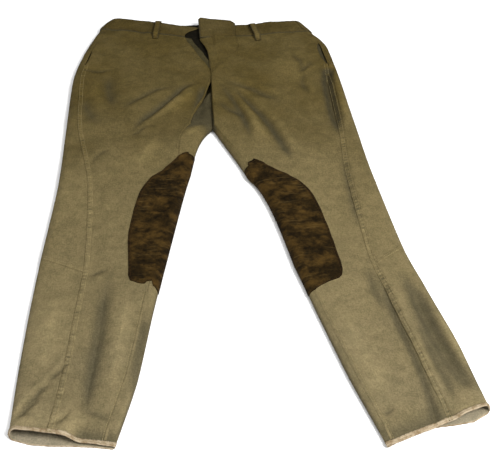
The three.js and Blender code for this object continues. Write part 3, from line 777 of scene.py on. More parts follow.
class Paint(Wiring):
    """The nodes of one material, with its coordinates at hand."""

    def __init__(self, name: str) -> None:
        """Makes the material."""
        self.material = bpy.data.materials.new(name)
        self.material.use_nodes = True
        super().__init__(self.material.node_tree)
        self.shader = self.tree.nodes["Principled BSDF"]
        coords = self.node("TexCoord").outputs
        self.place, self.cloth = coords["Object"], coords["UV"]

    def tone(self) -> object:
        """Painted light of the cloth, from -1 for painted shade to 1 for painted highlight."""
        return self.node("Attribute", {}, attribute_name="tone").outputs["Fac"]

    def done(self, colour: object, roughness: object, height: object, strength: float, **inputs: float) -> Material:
        """Joins the results to the shader.

        Args:
            colour: of the surface.
            roughness: of the surface.
            height: in metres, for the bump.
            strength: of the bump.
            **inputs: further inputs of the shader, with low dashes for spaces.
        """
        bump = self.node("Bump", {"Height": height, "Strength": strength, "Distance": 1.0}).outputs[0]
        self.join(self.shader, {"Base Color": colour, "Roughness": roughness, "Normal": bump})
        self.join(self.shader, {key.replace("_", " "): value for key, value in inputs.items()})
        return self.material


def twill_group() -> Tree:
    """Twill weave on the piece's own texture coordinates: slanting ribs crossed by yarn, with thicker yarns."""
    w = Effect("Twill weave", {"Cloth": ("Vector", None), "Pitch": ("Float", 0.0011)}, ("Height", "Shade"))
    cloth = w.given["Cloth"]
    across, along, _ = w.node("SeparateXYZ", {0: cloth}).outputs
    count = w.math("DIVIDE", TURN, w.given["Pitch"])
    ribs = w.math("SINE", w.times(w.plus(across, w.times(along, 0.62)), count))
    yarn = w.math("SINE", w.times(along, w.times(count, 1.9)))
    long, wide = (w.noise(w.scaled(cloth, scale), 1.0, 2.0) for scale in ((900.0, 90.0, 1.0), (110.0, 1000.0, 1.0)))
    slub = w.plus(long, wide)
    woven = w.plus(w.times(ribs, 0.6), w.times(yarn, 0.25))
    shade = w.plus(w.times(slub, 0.7), w.times(ribs, 0.08))
    w.join(w.end, {"Height": w.plus(woven, w.times(slub, 1.1)), "Shade": shade})
    return w.tree


def mottle_group() -> Tree:
    """Uneven dye and handling: broad clouds, small blotches and fine speckle, as three masks."""
    masks = {
        "Clouds": ((11.0, 3.0), 0.36, 0.64),
        "Blotches": ((62.0, 5.0, 0.62), 0.38, 0.64),
        "Speckle": ((420.0, 3.0, 0.7), 0.34, 0.68),
    }
    w = Effect("Cloth mottle", {"Place": ("Vector", None)}, tuple(masks))
    for name, (grain, low, high) in masks.items():
        w.join(w.end, {name: w.band(w.noise(w.given["Place"], *grain), low, high)})
    return w.tree


def tint(red: float, green: float, blue: float) -> Colour:
    """An opaque colour from values seen on a screen, 0 to 255, made linear."""
    return tuple([((c / 255 + 0.055) / 1.055) ** 2.4 if c > 10 else c / 3294 for c in (red, green, blue)] + [1.0])


@dataclass(frozen=True)
class TwillFinish:
    """Brushed cotton twill, washed and faded unevenly.

    Attributes:
        name: of the material.
        hem: colour at the hem end.
        thigh: colour halfway.
        waist: colour at the waist.
        cool: greyer tone of the blotches.
        warm: yellower tone of the clouds.
        hollow: greyer colour of the painted shade in the hollows.
        bump: depth of the weave, in metres.
    """

    name: str
    hem: Colour = tint(119, 107, 78)
    thigh: Colour = tint(115, 102, 69)
    waist: Colour = tint(85, 72, 37)
    cool: Colour = tint(196, 203, 200)
    warm: Colour = tint(138, 123, 84)
    hollow: Colour = (0.13, 0.12, 0.075, 1.0)
    bump: float = 0.00035

    def build(self, twill: Tree, mottle: Tree) -> Material:
        """The material: colour by height on the garment, clouds and blotches, painted shade and highlight from the
        tone, weave in colour and bump.
        """
        w = Paint(self.name)
        weave = w.node("Group", {"Cloth": w.cloth}, node_tree=twill).outputs
        spots = w.node("Group", {"Place": w.place}, node_tree=mottle).outputs
        y = w.node("SeparateXYZ", {0: w.place}).outputs[1]
        # Darker towards the waist and lighter towards the hem, with a noisy boundary.
        drift = w.plus(y, w.times(w.noise(w.place, 7.0, 2.0), 0.16))
        base = w.mix(w.band(drift, -0.36, 0.12), self.hem, self.thigh)
        base = w.mix(w.band(drift, 0.03, 0.34), base, self.waist)
        base = w.mix(w.times(spots["Clouds"], 0.16), base, self.warm)
        base = w.mix(w.times(spots["Blotches"], 0.36), base, self.cool, "MULTIPLY")
        # Painted shade: below 0 the tone greys and darkens the colour; above 0 it lightens it as a painted highlight.
        tone = w.tone()
        base = w.mix(w.band(tone, -1.0, 0.0, 0.45, 0.0), base, self.hollow)
        fine = w.band(spots["Speckle"], 0.0, 1.0, 0.86, 1.12)
        shade = w.band(weave["Shade"], 0.4, 1.0, 0.8, 1.16)
        colour = w.shaded(base, w.times(w.times(fine, shade), w.band(tone, -1.0, 1.0, 0.52, 1.4)))
        crumple = w.times(w.noise(w.place, 150.0, 4.0, 0.6), 0.0011)
        height = w.plus(w.times(weave["Height"], self.bump), crumple)
        return w.done(colour, w.band(spots["Blotches"], 0, 1, 0.82, 0.95), height, 0.9, Specular_IOR_Level=0.06)


@dataclass(frozen=True)
class SuedeFinish:
    """Brown split leather with a rubbed nap, scratched pale in places, and given painted shade in its creases by the
    tone.
    """

    name: str
    dark: Colour
    light: Colour
    scratch: Colour

    def build(self) -> Material:
        """The material: two scales of nap in colour, thin pale scratches, a soft bump."""
        w = Paint(self.name)
        broad = w.band(w.noise(w.scaled(w.place, (34.0, 46.0, 40.0), 0.5), 1.0, 6.0, 0.66), 0.42, 0.64)
        small = w.band(w.noise(w.place, 190.0, 4.0, 0.7), 0.3, 0.7)
        nap = w.plus(w.times(broad, 0.72), w.times(small, 0.28))
        marks = [
            w.band(w.noise(w.scaled(w.place, (size * 0.6, size * 13.0, 1.0), turn), 1.0, 1.0, 0.4), 0.62, 0.76)
            for turn, size in ((0.55, 34.0), (-0.35, 27.0))
        ]
        marks = w.times(w.math("MAXIMUM", *marks), w.band(w.noise(w.place, 30.0, 2.0), 0.4, 0.6))
        base = w.mix(w.times(marks, 0.35), w.mix(nap, self.dark, self.light), self.scratch)
        # Painted shade and painted highlight from the tone attribute.
        colour = w.shaded(base, w.band(w.tone(), -1.0, 1.0, 0.45, 1.55))
        height = w.plus(w.times(w.noise(w.place, 900.0, 3.0), 0.0007), w.times(nap, 0.0009))
        return w.done(colour, w.band(nap, 0, 1, 0.98, 0.8), height, 0.8, Specular_IOR_Level=0.05)


@dataclass(frozen=True)
class PlainFinish:
    """A small part's finish: one colour broken by blotches, with ribs along its own coordinates if it is woven.

    Attributes:
        name: of the material.
        colour: main colour.
        worn: colour of its blotches.
        roughness: from and to, over the blotches.
        metal: it is metal.
        pitch: of its ribs in metres, 0 for none.
        grain: scale of the blotches.
    """

    name: str
    colour: Colour
    worn: Colour
    roughness: tuple = (0.8, 0.95)
    metal: bool = False
    pitch: float = 0.0
    grain: float = 90.0

    def build(self) -> Material:
        """The material."""
        w = Paint(self.name)
        spots = w.band(w.noise(w.place, self.grain, 5.0, 0.65), 0.38, 0.66)
        height = w.times(w.noise(w.place, 1400.0, 3.0), 0.0002 if self.metal else 0.0006)
        if self.pitch:
            along = w.node("SeparateXYZ", {0: w.cloth}).outputs[1]
            height = w.plus(height, w.times(w.math("SINE", w.times(along, TURN / self.pitch)), 0.0001))
        shine = {"Metallic": 1.0} if self.metal else {"Specular_IOR_Level": 0.06}
        colour = w.mix(spots, self.colour, self.worn)
        return w.done(colour, w.band(spots, 0, 1, *self.roughness), height, 0.6, **shine)


class Wardrobe:
    """All finishes, built once and named after the record's material slots."""

    def __init__(self) -> None:
        """Builds the node groups and the materials."""
        groups = twill_group(), mottle_group()
        dim = dict(hem=tint(150, 140, 118), thigh=tint(92, 86, 62), waist=tint(66, 60, 38))
        self.khaki = TwillFinish("khaki_twill").build(*groups)
        self.band = TwillFinish("waistband_twill", waist=tint(74, 62, 30), thigh=tint(80, 68, 36)).build(*groups)
        self.inside = TwillFinish("turned_back_twill", **dim).build(*groups)
        self.suede = SuedeFinish("suede", tint(16, 11, 4), tint(60, 44, 17), tint(100, 82, 48)).build()
        self.lining = self.plain("lining", (158, 148, 126), (140, 128, 104), pitch=0.0011)
        # Near-black, as painted shade for the deep gap beside the fly's tab where the underlap shows; the waistband's
        # lining takes it too.
        self.dark = self.plain("dark_lining", (18, 15, 7), (12, 10, 5), pitch=0.0012)
        self.tape = self.plain("hem_tape", (154, 140, 118), (108, 90, 66), pitch=0.0016, grain=110.0)
        self.zip_tape = self.plain("zip_tape", (92, 82, 52), (78, 68, 42), pitch=0.0013)
        metal = dict(metal=True, grain=160.0)
        self.brass = self.plain("brass", (196, 160, 92), (140, 108, 58), roughness=(0.28, 0.5), **metal)
        self.nickel = self.plain("nickel", (182, 182, 176), (140, 138, 130), roughness=(0.25, 0.45), **metal)
        self.thread = self.plain("khaki_thread", (150, 136, 98), (112, 98, 62), grain=260.0)
        self.dark_thread = self.plain("waist_thread", (92, 78, 46), (66, 54, 30), grain=260.0)
        self.brown_thread = self.plain("brown_thread", (70, 50, 28), (40, 26, 12), grain=260.0)

    @staticmethod
    def plain(name: str, colour: tuple, worn: tuple, **how: object) -> Material:
        """A plain finish from two colours as they are seen on a screen."""
        return PlainFinish(name, tint(*colour), tint(*worn), **how).build()


# ---------------------------------------------------------------- declaring pieces


@dataclass
class Maker:
    """A body is a body's name, or (body, body, start, end) for a piece that bends between two.
    """

    finishes: Wardrobe
    count: int = 0
    sheets: dict = field(default_factory=dict)
    homes: dict = field(default_factory=dict)
    trims: dict = field(default_factory=dict)

    def place(self, piece: Object, slot: str, nodes: tuple, body: str | tuple) -> None:
        """Declares where a piece moves, its slot and the CAD nodes that it stands for, and reports it."""
        if isinstance(body, str):
            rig.ride(piece, body)
        else:
            first, second, start, end = body
            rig.blend(piece, first, second, start=start, end=end)
        if nodes:
            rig.replaces(piece, *nodes)
        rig.slot(piece, slot)
        self.count += 1
        where = body if isinstance(body, str) else " and ".join(body[:2])
        log.info("%s: %d faces, on %s", piece.name, len(piece.data.polygons), where)

    def cloth(self, name: str, grid: Array, thickness: float, finish: Material, slot: str, nodes: tuple,
              body: str | tuple = "hips", rests: tuple = (), around: bool = False, **how: object) -> None:
        """Makes a sheet of cloth, and declares where it moves, what it replaces, and the size it was cut to.

        The flat size is the longest row by the longest column of the grid, and the flat area the sum of its quads.

        Args:
            name: of the piece.
            grid: its visible side, in millimetres.
            thickness: of the cloth.
            finish: its material.
            slot: the record's material slot.
            nodes: the CAD nodes that it stands for.
            body: what it moves with.
            rests: names of what it lies on.
            around: the grid's last column joins its first.
            **how: what else shell takes.
        """
        piece = shell(name, grid, thickness, finish, around=around, **how)
        closed = np.concatenate([grid, grid[:, :1]], 1) if around else grid
        across, down = np.diff(closed, axis=1), np.diff(closed, axis=0)
        rows, columns = np.linalg.norm(across, axis=-1).sum(1).max(), np.linalg.norm(down, axis=-1).sum(0).max()
        area = np.linalg.norm(np.cross(across[:-1], down[:, :-1]), axis=-1).sum()
        share = np.clip(area / (rows * columns), 0.31, 1.0)
        self.place(piece, slot, nodes, body)
        self.homes[name] = slot, body
        wide, long = float(rows * MM), float(columns * MM)
        self.sheets[name] = dict(
            obj=piece, flat=(wide, long), held="laid", rests_on=list(rests), area=float(share) * wide * long
        )

    def trim(self, piece: Object, owner: str, slot: str = "", body: str | tuple = "") -> None:
        """Declares a ridge or stitches on a sheet of cloth, with the sheet's slot and body unless others are given."""
        self.trims.setdefault(owner, []).append(piece)
        own_slot, own_body = self.homes[owner]
        self.place(piece, slot or own_slot, (), body or own_body)

    def sew(self, name: str, lines: list, finish: Material, owner: str, slot: str = "", body: str | tuple = "",
            pitch: float = 3.2, length: float = 2.3, width: float = 0.55) -> None:
        """Makes one object of all stitches along several (path, normal) lines, in the sheet that owns them."""
        points, faces, n = [], [], 0
        for path, normal in lines:
            p, f = stitch_row(path, normal, pitch, length, width)
            points.append(p)
            faces.append(f + n)
            n += len(p)
        points = np.concatenate(points)
        self.trim(mesh_object(name, points, np.concatenate(faces), points[:, :2] * MM, finish), owner, slot, body)

    def declare(self) -> None:
        """Declares every sheet with the seams and stitches on it, once all are made."""
        for name, sheet in self.sheets.items():
            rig.sheet(**sheet, with_pieces=self.trims.get(name, []))


# ---------------------------------------------------------------- the two halves


def right_form() -> LegForm:
    """The wearer's right half."""
    folds = (
        Fold(((-30, 276), (-57, 256), (-88, 212), (-125, 175), (-150, 130)), -4.2, 7.5, 0.35),
        Fold(((-28, 250), (-58, 222), (-92, 186)), 2.6, 15),
        Fold(((-62, 260), (-101, 253), (-141, 225), (-166, 196)), -2.2, 8, 0.3),
        Fold(((-117, 158), (-131, 142), (-146, 128)), -1.8, 4.5), Fold(((-176, 95), (-194, 84), (-212, 60)), -1.3, 5),
        Fold(((-233, 328), (-204, 318), (-174, 323)), -2.0, 5, 0.3),
        Fold(((-181, 308), (-183, 258), (-171, 196)), -2.4, 13),
        Fold(((-222, 246), (-217, 204), (-193, 152)), -2.2, 12),
        Fold(((-204, 300), (-202, 250), (-190, 200)), 1.6, 12), Fold(((-104, 130), (-120, 88), (-144, 30)), 2.2, 16),
        Fold(((-20, 262), (-28, 215), (-34, 160)), -6.0, 11), Fold(((-14, 226), (-17, 206), (-9, 190)), -4.0, 2.8),
        Fold(((-60, 118), (-38, 140), (-15, 146)), 2.0, 7),
        Fold(((-172, -160), (-183, -234), (-192, -322), (-200, -392), (-200, -430)), -3.8, 11),
        Fold(((-125, -235), (-131, -299), (-137, -355), (-146, -405)), -3.4, 12),
        Fold(((-150, -215), (-160, -297), (-172, -385)), 2.2, 14),
        Fold(((-250, -200), (-255, -290), (-262, -350)), 1.6, 18),
        Fold(((-204, -182), (-193, -177), (-172, -168)), -1.9, 4.5),
        Fold(((-289, -430), (-281, -411), (-270, -394), (-255, -374), (-238, -367)), -2.8, 4.5, 0.4),
        Fold(((-288, -436), (-279, -414), (-267, -400), (-258, -384)), -2.2, 4, 0.3),
        Fold(((-248, -436), (-237, -432), (-228, -425), (-217, -410)), -2.4, 4, 0.4),
        Fold(((-216, -407), (-196, -418), (-179, -427), (-163, -437)), -1.8, 5),
        Fold(((-291, -417), (-276, -416), (-264, -421)), -1.5, 4),
        Fold(((-257, -371), (-237, -350), (-224, -334)), -2.0, 4.5, 0.4),
        Fold(((-284, -446), (-256, -447), (-226, -452), (-206, -458)), 6.5, 30, 0.0, True, False),
        Fold(((-212, -452), (-190, -457), (-172, -462)), -4.0, 14, 0.0, True, True),
        Fold(((-172, 467), (-142, 452), (-114, 430)), -1.4, 6), Fold(((-215, 440), (-190, 452), (-160, 448)), -1.2, 9),
    )
    return LegForm(
        Side.RIGHT,
        outer=[(-179, 492), (-201, 461), (-229, 380), (-245, 300), (-251, 160), (-257, 20), (-274, -141),
               (-282, -230), (-290, -345), (-294, -440)],
        front=[(-3, 442), (-3, 403), (-3, 362), (-5, 290), (-13, 147), (-58, 18), (-98, -163), (-117, -255),
               (-139, -372), (-166, -467)],
        height=[17, 17, 17, 18, 18, 18, 16, 14, 14, 13],
        outseam=[18, 16, 14, 14, 20, 46, 64, 63, 58, 48],
        inseam=[44, 46, 26, 1, 36, 15, 14, 14, 14, 14],
        roll=[0.5, 0.5, 0.5, 4, 34, 16, 12, 12, 12, 12],
        folds=folds,
        mouth=(2.0, 2.6, 3.5),
        swells=(Swell(3, 40, 150, 1.9), Swell(4, 14, 38, 0.6)),
        nip=(4.0, 9.0),
        trail=(1, 6, 5, 2, 0, 0),
    )


def left_form() -> LegForm:
    """The wearer's left half."""
    folds = (
        Fold(((2, 270), (26, 211), (41, 154), (48, 96)), -4.4, 8, 0.3),
        Fold(((10, 272), (37, 226), (76, 151), (100, 69), (108, 40)), -3.8, 8, 0.3),
        Fold(((12, 262), (34, 200), (60, 135), (74, 78)), 2.2, 11),
        Fold(((7, 274), (61, 240), (116, 192)), -2.3, 9, 0.3), Fold(((-4, 216), (18, 184), (46, 167)), -2.2, 7),
        Fold(((196, 284), (190, 246), (190, 197), (190, 150), (186, 92)), -8.5, 10, 0.2, True, False),
        Fold(((208, 270), (208, 200), (207, 130)), 2.4, 8), Fold(((176, 321), (157, 295), (138, 274)), -2.2, 6, 0.4),
        Fold(((163, 290), (146, 255), (156, 205)), -2.0, 7, 0.3),
        Fold(((134, 350), (150, 316), (150, 284)), -1.9, 6, 0.3),
        Fold(((188, 92), (185, 4), (183, -74), (188, -135)), -2.4, 8),
        Fold(((183, -190), (185, -234), (195, -290)), -2.4, 9),
        Fold(((194, -175), (201, -254), (210, -328), (220, -396), (223, -460)), -3.6, 7, 0.2, False, True),
        Fold(((221, -200), (241, -258), (250, -320), (266, -384), (280, -428)), -7.0, 12, 0.15),
        Fold(((229, -290), (238, -353), (249, -404), (256, -450)), -2.8, 7),
        Fold(((260, -280), (268, -330), (280, -395)), 2.2, 8),
        Fold(((131, -258), (143, -322), (159, -386), (172, -452)), 1.8, 15),
        Fold(((136, 399), (161, 425), (172, 412)), -1.8, 6), Fold(((100, 330), (130, 300), (150, 240)), 1.6, 18),
        Fold(((160, -452), (169, -446), (176, -440)), -1.6, 3.5),
        Fold(((168, -488), (198, -479), (232, -470)), -4.2, 20, 0.0, True, True),
        Fold(((292, -452), (270, -462), (246, -468)), 3.4, 22, 0.0, True, False),
    )
    return LegForm(
        Side.LEFT,
        outer=[(167, 447), (184, 412), (205, 370), (212, 300), (219, 165), (226, 20), (243, -161), (257, -230),
               (280, -346), (294, -450)],
        front=[(-3, 441), (-3, 402), (-3, 362), (-8, 290), (-13, 147), (34, 16), (86, -193), (102, -268),
               (129, -388), (158, -493)],
        height=[20, 20, 20, 20, 18, 18, 16, 14, 14, 13],
        outseam=[18, 16, 14, 14, 20, 34, 48, 50, 54, 52],
        inseam=[47.5, 47.5, 47.5, 1, 3, 8, 9, 9, 9, 9],
        roll=[0.5, 0.5, 0.5, 1.5, 5, 12, 12, 12, 12, 12],
        folds=folds,
        mouth=(2.0, 2.95, 9.0),
        swells=(Swell(13, 40, 150, 1.9), Swell(14, 14, 38, 0.6)),
        nip=(5.0, 9.0),
        trail=(1, 6, 2, -4, -7, -5, 0),
    )


@dataclass
class Half:
    """One half of the breeches below the waist: panels, seams, patch, pocket and hem."""

    form: LegForm
    maker: Maker
    fell: float = 8.0  # width of the felled outseam
    fell_lift: float = 0.55

    @property
    def name(self) -> str:
        """The side's name."""
        return self.form.side.value

    @property
    def left(self) -> bool:
        """Whether it is the left half, whose grids run the other way round."""
        return self.form.side is Side.LEFT

    @property
    def shin(self) -> str:
        """The body below the knee."""
        return f"{self.name}_shin"

    @property
    def bend(self) -> tuple:
        """How cloth that crosses the knee moves: the two bodies, and where its turn starts and ends."""
        joint = next(j for j in frame["joints"] if j["name"] == f"{self.name}_knee_fold")
        (x, y, z), axis = joint["pos_m"], joint["axis"]
        return "hips", self.shin, (x, y, z), (x - KNEE_REACH * axis[1], y + KNEE_REACH * axis[0], z)

    def cloth(self, what: str, grid: Array, thickness: float, finish: Material, slot: str, parts: tuple,
              inner: bool = False, **how: object) -> None:
        """Makes a sheet of this side. Names are given without the side, and inner cloth is seen from inside."""
        nodes = tuple(f"{self.name}_{part}" for part in parts)
        flip = self.left is not inner
        self.maker.cloth(f"{self.name}_{what}", grid, thickness, finish, slot, nodes, flip=flip, **how)

    def ridge(self, what: str, grid: Array, thickness: float, owner: str = "front_cloth", turned: bool = False,
              tone: Array | None = None, body: str = "") -> None:
        """Makes a seam's ridge that belongs to a sheet of this side; turned when its grid runs the other way."""
        flip = self.left is not turned
        piece = shell(f"{self.name}_{what}", grid, thickness, self.maker.finishes.khaki, flip=flip, tone=tone)
        self.maker.trim(piece, f"{self.name}_{owner}", body=body)

    def sew(self, what: str, lines: list, finish: Material, owner: str, **how: object) -> None:
        """Makes the stitches of a sheet of this side."""
        self.maker.sew(f"{self.name}_{what}", lines, finish, f"{self.name}_{owner}", **how)

    def sink(self, v: Array, s: Array) -> Array:
        """How far the right front dips beside the fly, where it lies under the zip."""
        if self.left:
            return np.zeros(np.broadcast(v, s).shape)
        along = np.clip((FLY_BASE - v) / 0.25, 0, 1)
        return 1.7 * along * np.clip(1 - np.clip(s - 30, 0, None) / 60, 0, 1)

    def edges(self, v: Array) -> tuple[Array, Array]:
        """The turns at which the inseam and the outseam lie."""
        f = self.form
        return f.turn(v, np.maximum(through(v, f.inseam), 0.4)), f.turn(v, through(v, f.outseam), True)

    def front(self) -> None:
        """The front panel, one cloth from the waist seam to the hem."""
        f = self.form
        v = f.rows(WAIST_SEAM, HEM, 2.3)
        gape = f.gape(v)
        q = f.spread(v, self.edges(v)[0], f.turn(v, through(v, f.outseam) + gape, True), FRONT_COLUMNS)
        roll = f.rolled(v)
        s = roll[:, None] + (f.width(v) - roll - SHOULDER)[:, None] * q
        beside_mouth = smoothstep((np.linspace(0, 1, FRONT_COLUMNS) - 0.86) / 0.14)
        lip = 2.2 * (gape / f.mouth[2])[:, None] * beside_mouth
        grid = f.at(v[:, None], q, lift=lip, sink=self.sink(v[:, None], s))
        self.cloth("front_cloth", grid, CLOTH, self.maker.finishes.khaki, "khaki_twill",
                   ("front_thigh_panel", "front_calf_panel"), body=self.bend, rests=(f"{self.name}_back_cloth",),
                   last=True, tone=f.shade(grid))

    def back(self) -> None:
        """The back panel: from the outseam round the outer edge, across the floor and up to the inseam."""
        f = self.form
        v = f.rows(WAIST_SEAM, HEM, 3.3)
        inner, outer = self.edges(v)
        end = 3 + (1 + inner) * smoothstep((v - FLY_BASE) / 0.5)
        q = f.spread(v, outer, end, BACK_COLUMNS)
        under_front = np.where(q < 1.2, -0.25, 0.0)
        grid = f.at(v[:, None], q, lift=under_front)
        # Painted shade on the back's cloth in the crotch, where it shows between the fronts.
        hollow = smoothstep((q - 3.1) / 0.3) * smoothstep((4.2 - v) / 0.2)[:, None]
        self.cloth("back_cloth", grid, CLOTH, self.maker.finishes.khaki, "khaki_twill",
                   ("back_thigh_panel", "back_calf_panel"), body=self.bend, tone=f.shade(grid) - 0.9 * hollow)

    def seam_strip(self, v: Array, near: Array, far: Array, from_outer: bool, lift: float, seed: int,
                   pucker: float) -> tuple[Array, Array]:
        """A raised seam that follows the leg.

        Across it the height is lift * (1 - |2c - 1|^3), and puckers of uneven pitch run across it.

        Args:
            v: station numbers.
            near: distance of its one edge from the leg's edge.
            far: distance of its other edge.
            from_outer: they are taken from the outer edge.
            lift: of the seam.
            seed: of its puckers.
            pucker: share of the lift that comes and goes.

        Returns:
            Points, and the tone of the puckers: painted highlight on their crests and painted shade in their dips.
        """
        f = self.form
        c = np.linspace(0, 1, 11)
        q = f.turn(v[:, None], near[:, None] * (1 - c) + far[:, None] * c, from_outer)
        along = gone_along(through(v, f.outer))
        wave = ripple(along, 5.2, seed)[:, None] * np.cos(math.pi * (c - 0.4))
        wave = wave + 0.5 * ripple(along, 17, seed + 1)[:, None]
        high = lift * (1 - np.abs(2 * c - 1) ** 3) * (1 + pucker * wave)
        return f.at(v[:, None], q, lift=0.12 + np.maximum(high, 0)), np.clip(0.12 + 0.75 * wave * pucker, -0.6, 0.7)

    def line_on(self, v: Array, inset: Array, from_outer: bool, lift: float) -> tuple[Array, Array]:
        """A path with its normals, for stitches that run along the leg."""
        f = self.form
        q = f.turn(v, inset, from_outer)
        path, beside = f.at(v, q, lift=lift), f.at(v, q + 0.004, lift=lift)
        normal = unit(np.cross(beside - path, np.gradient(path, axis=0)))
        return path, normal * np.sign(normal[:, 2:] + 1e-9)

    def seams(self) -> None:
        """The felled outseam, the knee seam, the inseam, the crotch seam, and their stitches."""
        f = self.form
        v = f.rows(f.mouth[1] - 0.03, HEM, 1.35)
        inset = through(v, f.outseam)
        grid, puckers = self.seam_strip(v, inset - 0.4, inset + self.fell, True, self.fell_lift, 21, 0.42)
        self.ridge("outseam_fell", grid, 0.7, turned=True, tone=f.shade(grid) + puckers)
        lines = [self.line_on(v, inset + edge, True, 0.95) for edge in (1.3, self.fell - 1.4)]
        lines += self.knee_seam()
        v = f.rows(6.62, HEM - 0.08, 1.6)
        inset = through(v, f.inseam)
        grid, _ = self.seam_strip(v, inset - 1.6, inset + 1.6, False, 0.45, 31, 0.3)
        self.ridge("inseam_fell", grid, 0.5)
        lines.append(self.line_on(v, inset + 3.2, False, 0.15))
        v = f.rows(FLY_BASE + 0.06, 4.5, 1.6)
        inset = np.maximum(through(v, f.inseam), 0.6)
        grid, _ = self.seam_strip(v, inset - 0.5, inset + 3.4, False, 0.6, 41, 0.3)
        self.ridge("crotch_seam", grid, 0.6, body="hips")
        self.sew("seam_stitches", lines, self.maker.finishes.thread, "front_cloth")

    def knee_seam(self) -> list:
        """The slanting seam across the back panel's edge at the knee, and the lines of its stitches."""
        f = self.form
        share = np.linspace(0, 1, 50)
        v = KNEE + KNEE_SLANT * share
        inset = 3 + (through(v, f.outseam) - 3.4) * share
        deep = 7.0 / 88.0  # the seam's width, in stations
        c = np.linspace(0, 1, 9)
        where = v[:, None] + deep * (c - 0.5)
        q = f.turn(where, np.broadcast_to(inset[:, None], where.shape), True)
        raised = 0.12 + 0.55 * (1 - np.abs(2 * c - 1) ** 4) * (1 + 0.3 * ripple(inset, 6, 5)[:, None])
        grid = f.at(where, q, lift=np.maximum(raised, 0.1))
        self.ridge("knee_seam", grid, 0.6, "back_cloth")
        rows = [v + deep * shift for shift in (-0.3, 0.3)]
        return [flat_line(f.at(row, f.turn(row, inset, True), lift=0.7), 0.0) for row in rows]

    def pocket(self) -> None:
        """The pocket's facing and its bag, and the stitched edge of its mouth."""
        f, m = self.form, self.maker
        first, last, wide = f.mouth
        v = f.rows(first - 0.12, last + 0.12, 1.6)
        inset = through(v, f.outseam)
        c = np.linspace(0, 1, 18)
        q = f.turn(v[:, None], (inset + 25)[:, None] * (1 - c) + (inset + 0.4)[:, None] * c, True)
        open_share = np.sin(np.pi * np.clip((v - v[0]) / (v[-1] - v[0]), 0, 1))[:, None]
        grid = f.at(v[:, None], q, sink=4.4 * open_share * (1 - 0.55 * c) + 1.6)
        # Painted shade over the whole facing, for the dark inside of the pocket's mouth.
        self.cloth("pocket_facing_cloth", grid, 0.8, m.finishes.band, "khaki_twill", ("pocket_facing",),
                   rests=(f"{self.name}_back_cloth",), tone=np.full(q.shape, -0.9))
        start, end, deepest = 1.25, 3.25, 101
        v = f.rows(start, end, 4)
        mouth_side = (through(v, f.outseam) + wide + 4)[:, None]
        knots = [0, 0.44, 0.5, 0.56, 1]
        c = np.linspace(0, 1, 60)
        inwards, depth = np.interp(c, knots, [0, 1, 1.02, 1, 0]), np.interp(c, knots, [2.0, 2.0, 4.6, 7.2, 7.2])
        reach = deepest * np.sin(np.pi * np.clip(0.5 + 0.5 * (v - start) / (end - start), 0, 1) ** 4) ** 0.35
        q = f.turn(v[:, None], mouth_side + np.maximum(reach, 30)[:, None] * inwards, True)
        grid = f.at(v[:, None], q, sink=depth)
        self.cloth("pocket_bag_cloth", grid, 0.5, m.finishes.lining, "lining", ("pocket_bag",), inner=True)
        v = f.rows(first, last, 1.2)
        line = self.line_on(v, through(v, f.outseam) + f.gape(v) + 6.0, True, 0.1)
        self.sew("pocket_stitches", [line], m.finishes.thread, "front_cloth", body="hips")

    def hem(self) -> None:
        """The binding that wraps the end of the leg, and the facing inside it.

        The binding's rows go from the cloth's outside over its cut end to its inside. Each lies so far up from the
        hem and so far outside the cloth, and the first and the last are frayed most.
        """
        f, m = self.form, self.maker
        step = float(np.hypot(*f.hem_way))
        q = np.linspace(0, 4, ROUND_COLUMNS, endpoint=False)
        fray = 0.55 * ripple(q * 90, 4.5, 51) + 0.4 * ripple(q * 90, 1.7, 52)
        up = np.array([7.4, 5.5, 3.5, 1.6, 0.3, -0.5, -0.2, 1.5, 4.0, 7.0])[:, None]
        out = np.array([0.25, 0.75, 0.8, 0.8, 0.6, -0.3, -1.3, -1.75, -1.75, -1.5])[:, None]
        cut = HEM - (up + fray * np.array([0.6] + [0.2] * 8 + [0.5])[:, None]) / step
        wave = 0.16 * ripple(q * 90, 3.4, 53)
        grid = f.at(np.minimum(cut, HEM), q, lift=out + wave * (out > 0))
        grid[..., :2] += (np.clip(cut - HEM, 0, None) * step)[..., None] * unit(f.hem_way)
        self.cloth("hem_binding", grid, 0.35, m.finishes.tape, "hem_tape", ("hem_tape",), body=self.shin,
                   around=True, rests=(f"{self.name}_back_cloth",))
        rows = HEM - np.linspace(1.0, 23, 12) / step
        grid = f.at(rows[:, None], q[None], lift=-(CLOTH + 0.25))
        self.cloth("hem_facing_cloth", grid, 0.6, m.finishes.inside, "lining", ("hem_facing",), inner=True,
                   body=self.shin, around=True)
        lines = []
        closed = np.append(q, 4.0)
        for height, level in ((5.6, 0.85), (1.9, 0.9)):
            at = np.full_like(closed, HEM - height / step)
            path, beside = f.at(at, closed, lift=level), f.at(at - 0.01, closed, lift=level)
            normal = unit(np.cross(np.gradient(path, axis=0), beside - path))
            lines.append((path, normal if self.left else -normal))
        self.sew("hem_stitches", lines, m.finishes.thread, "hem_binding", slot="khaki_twill", pitch=3.0)


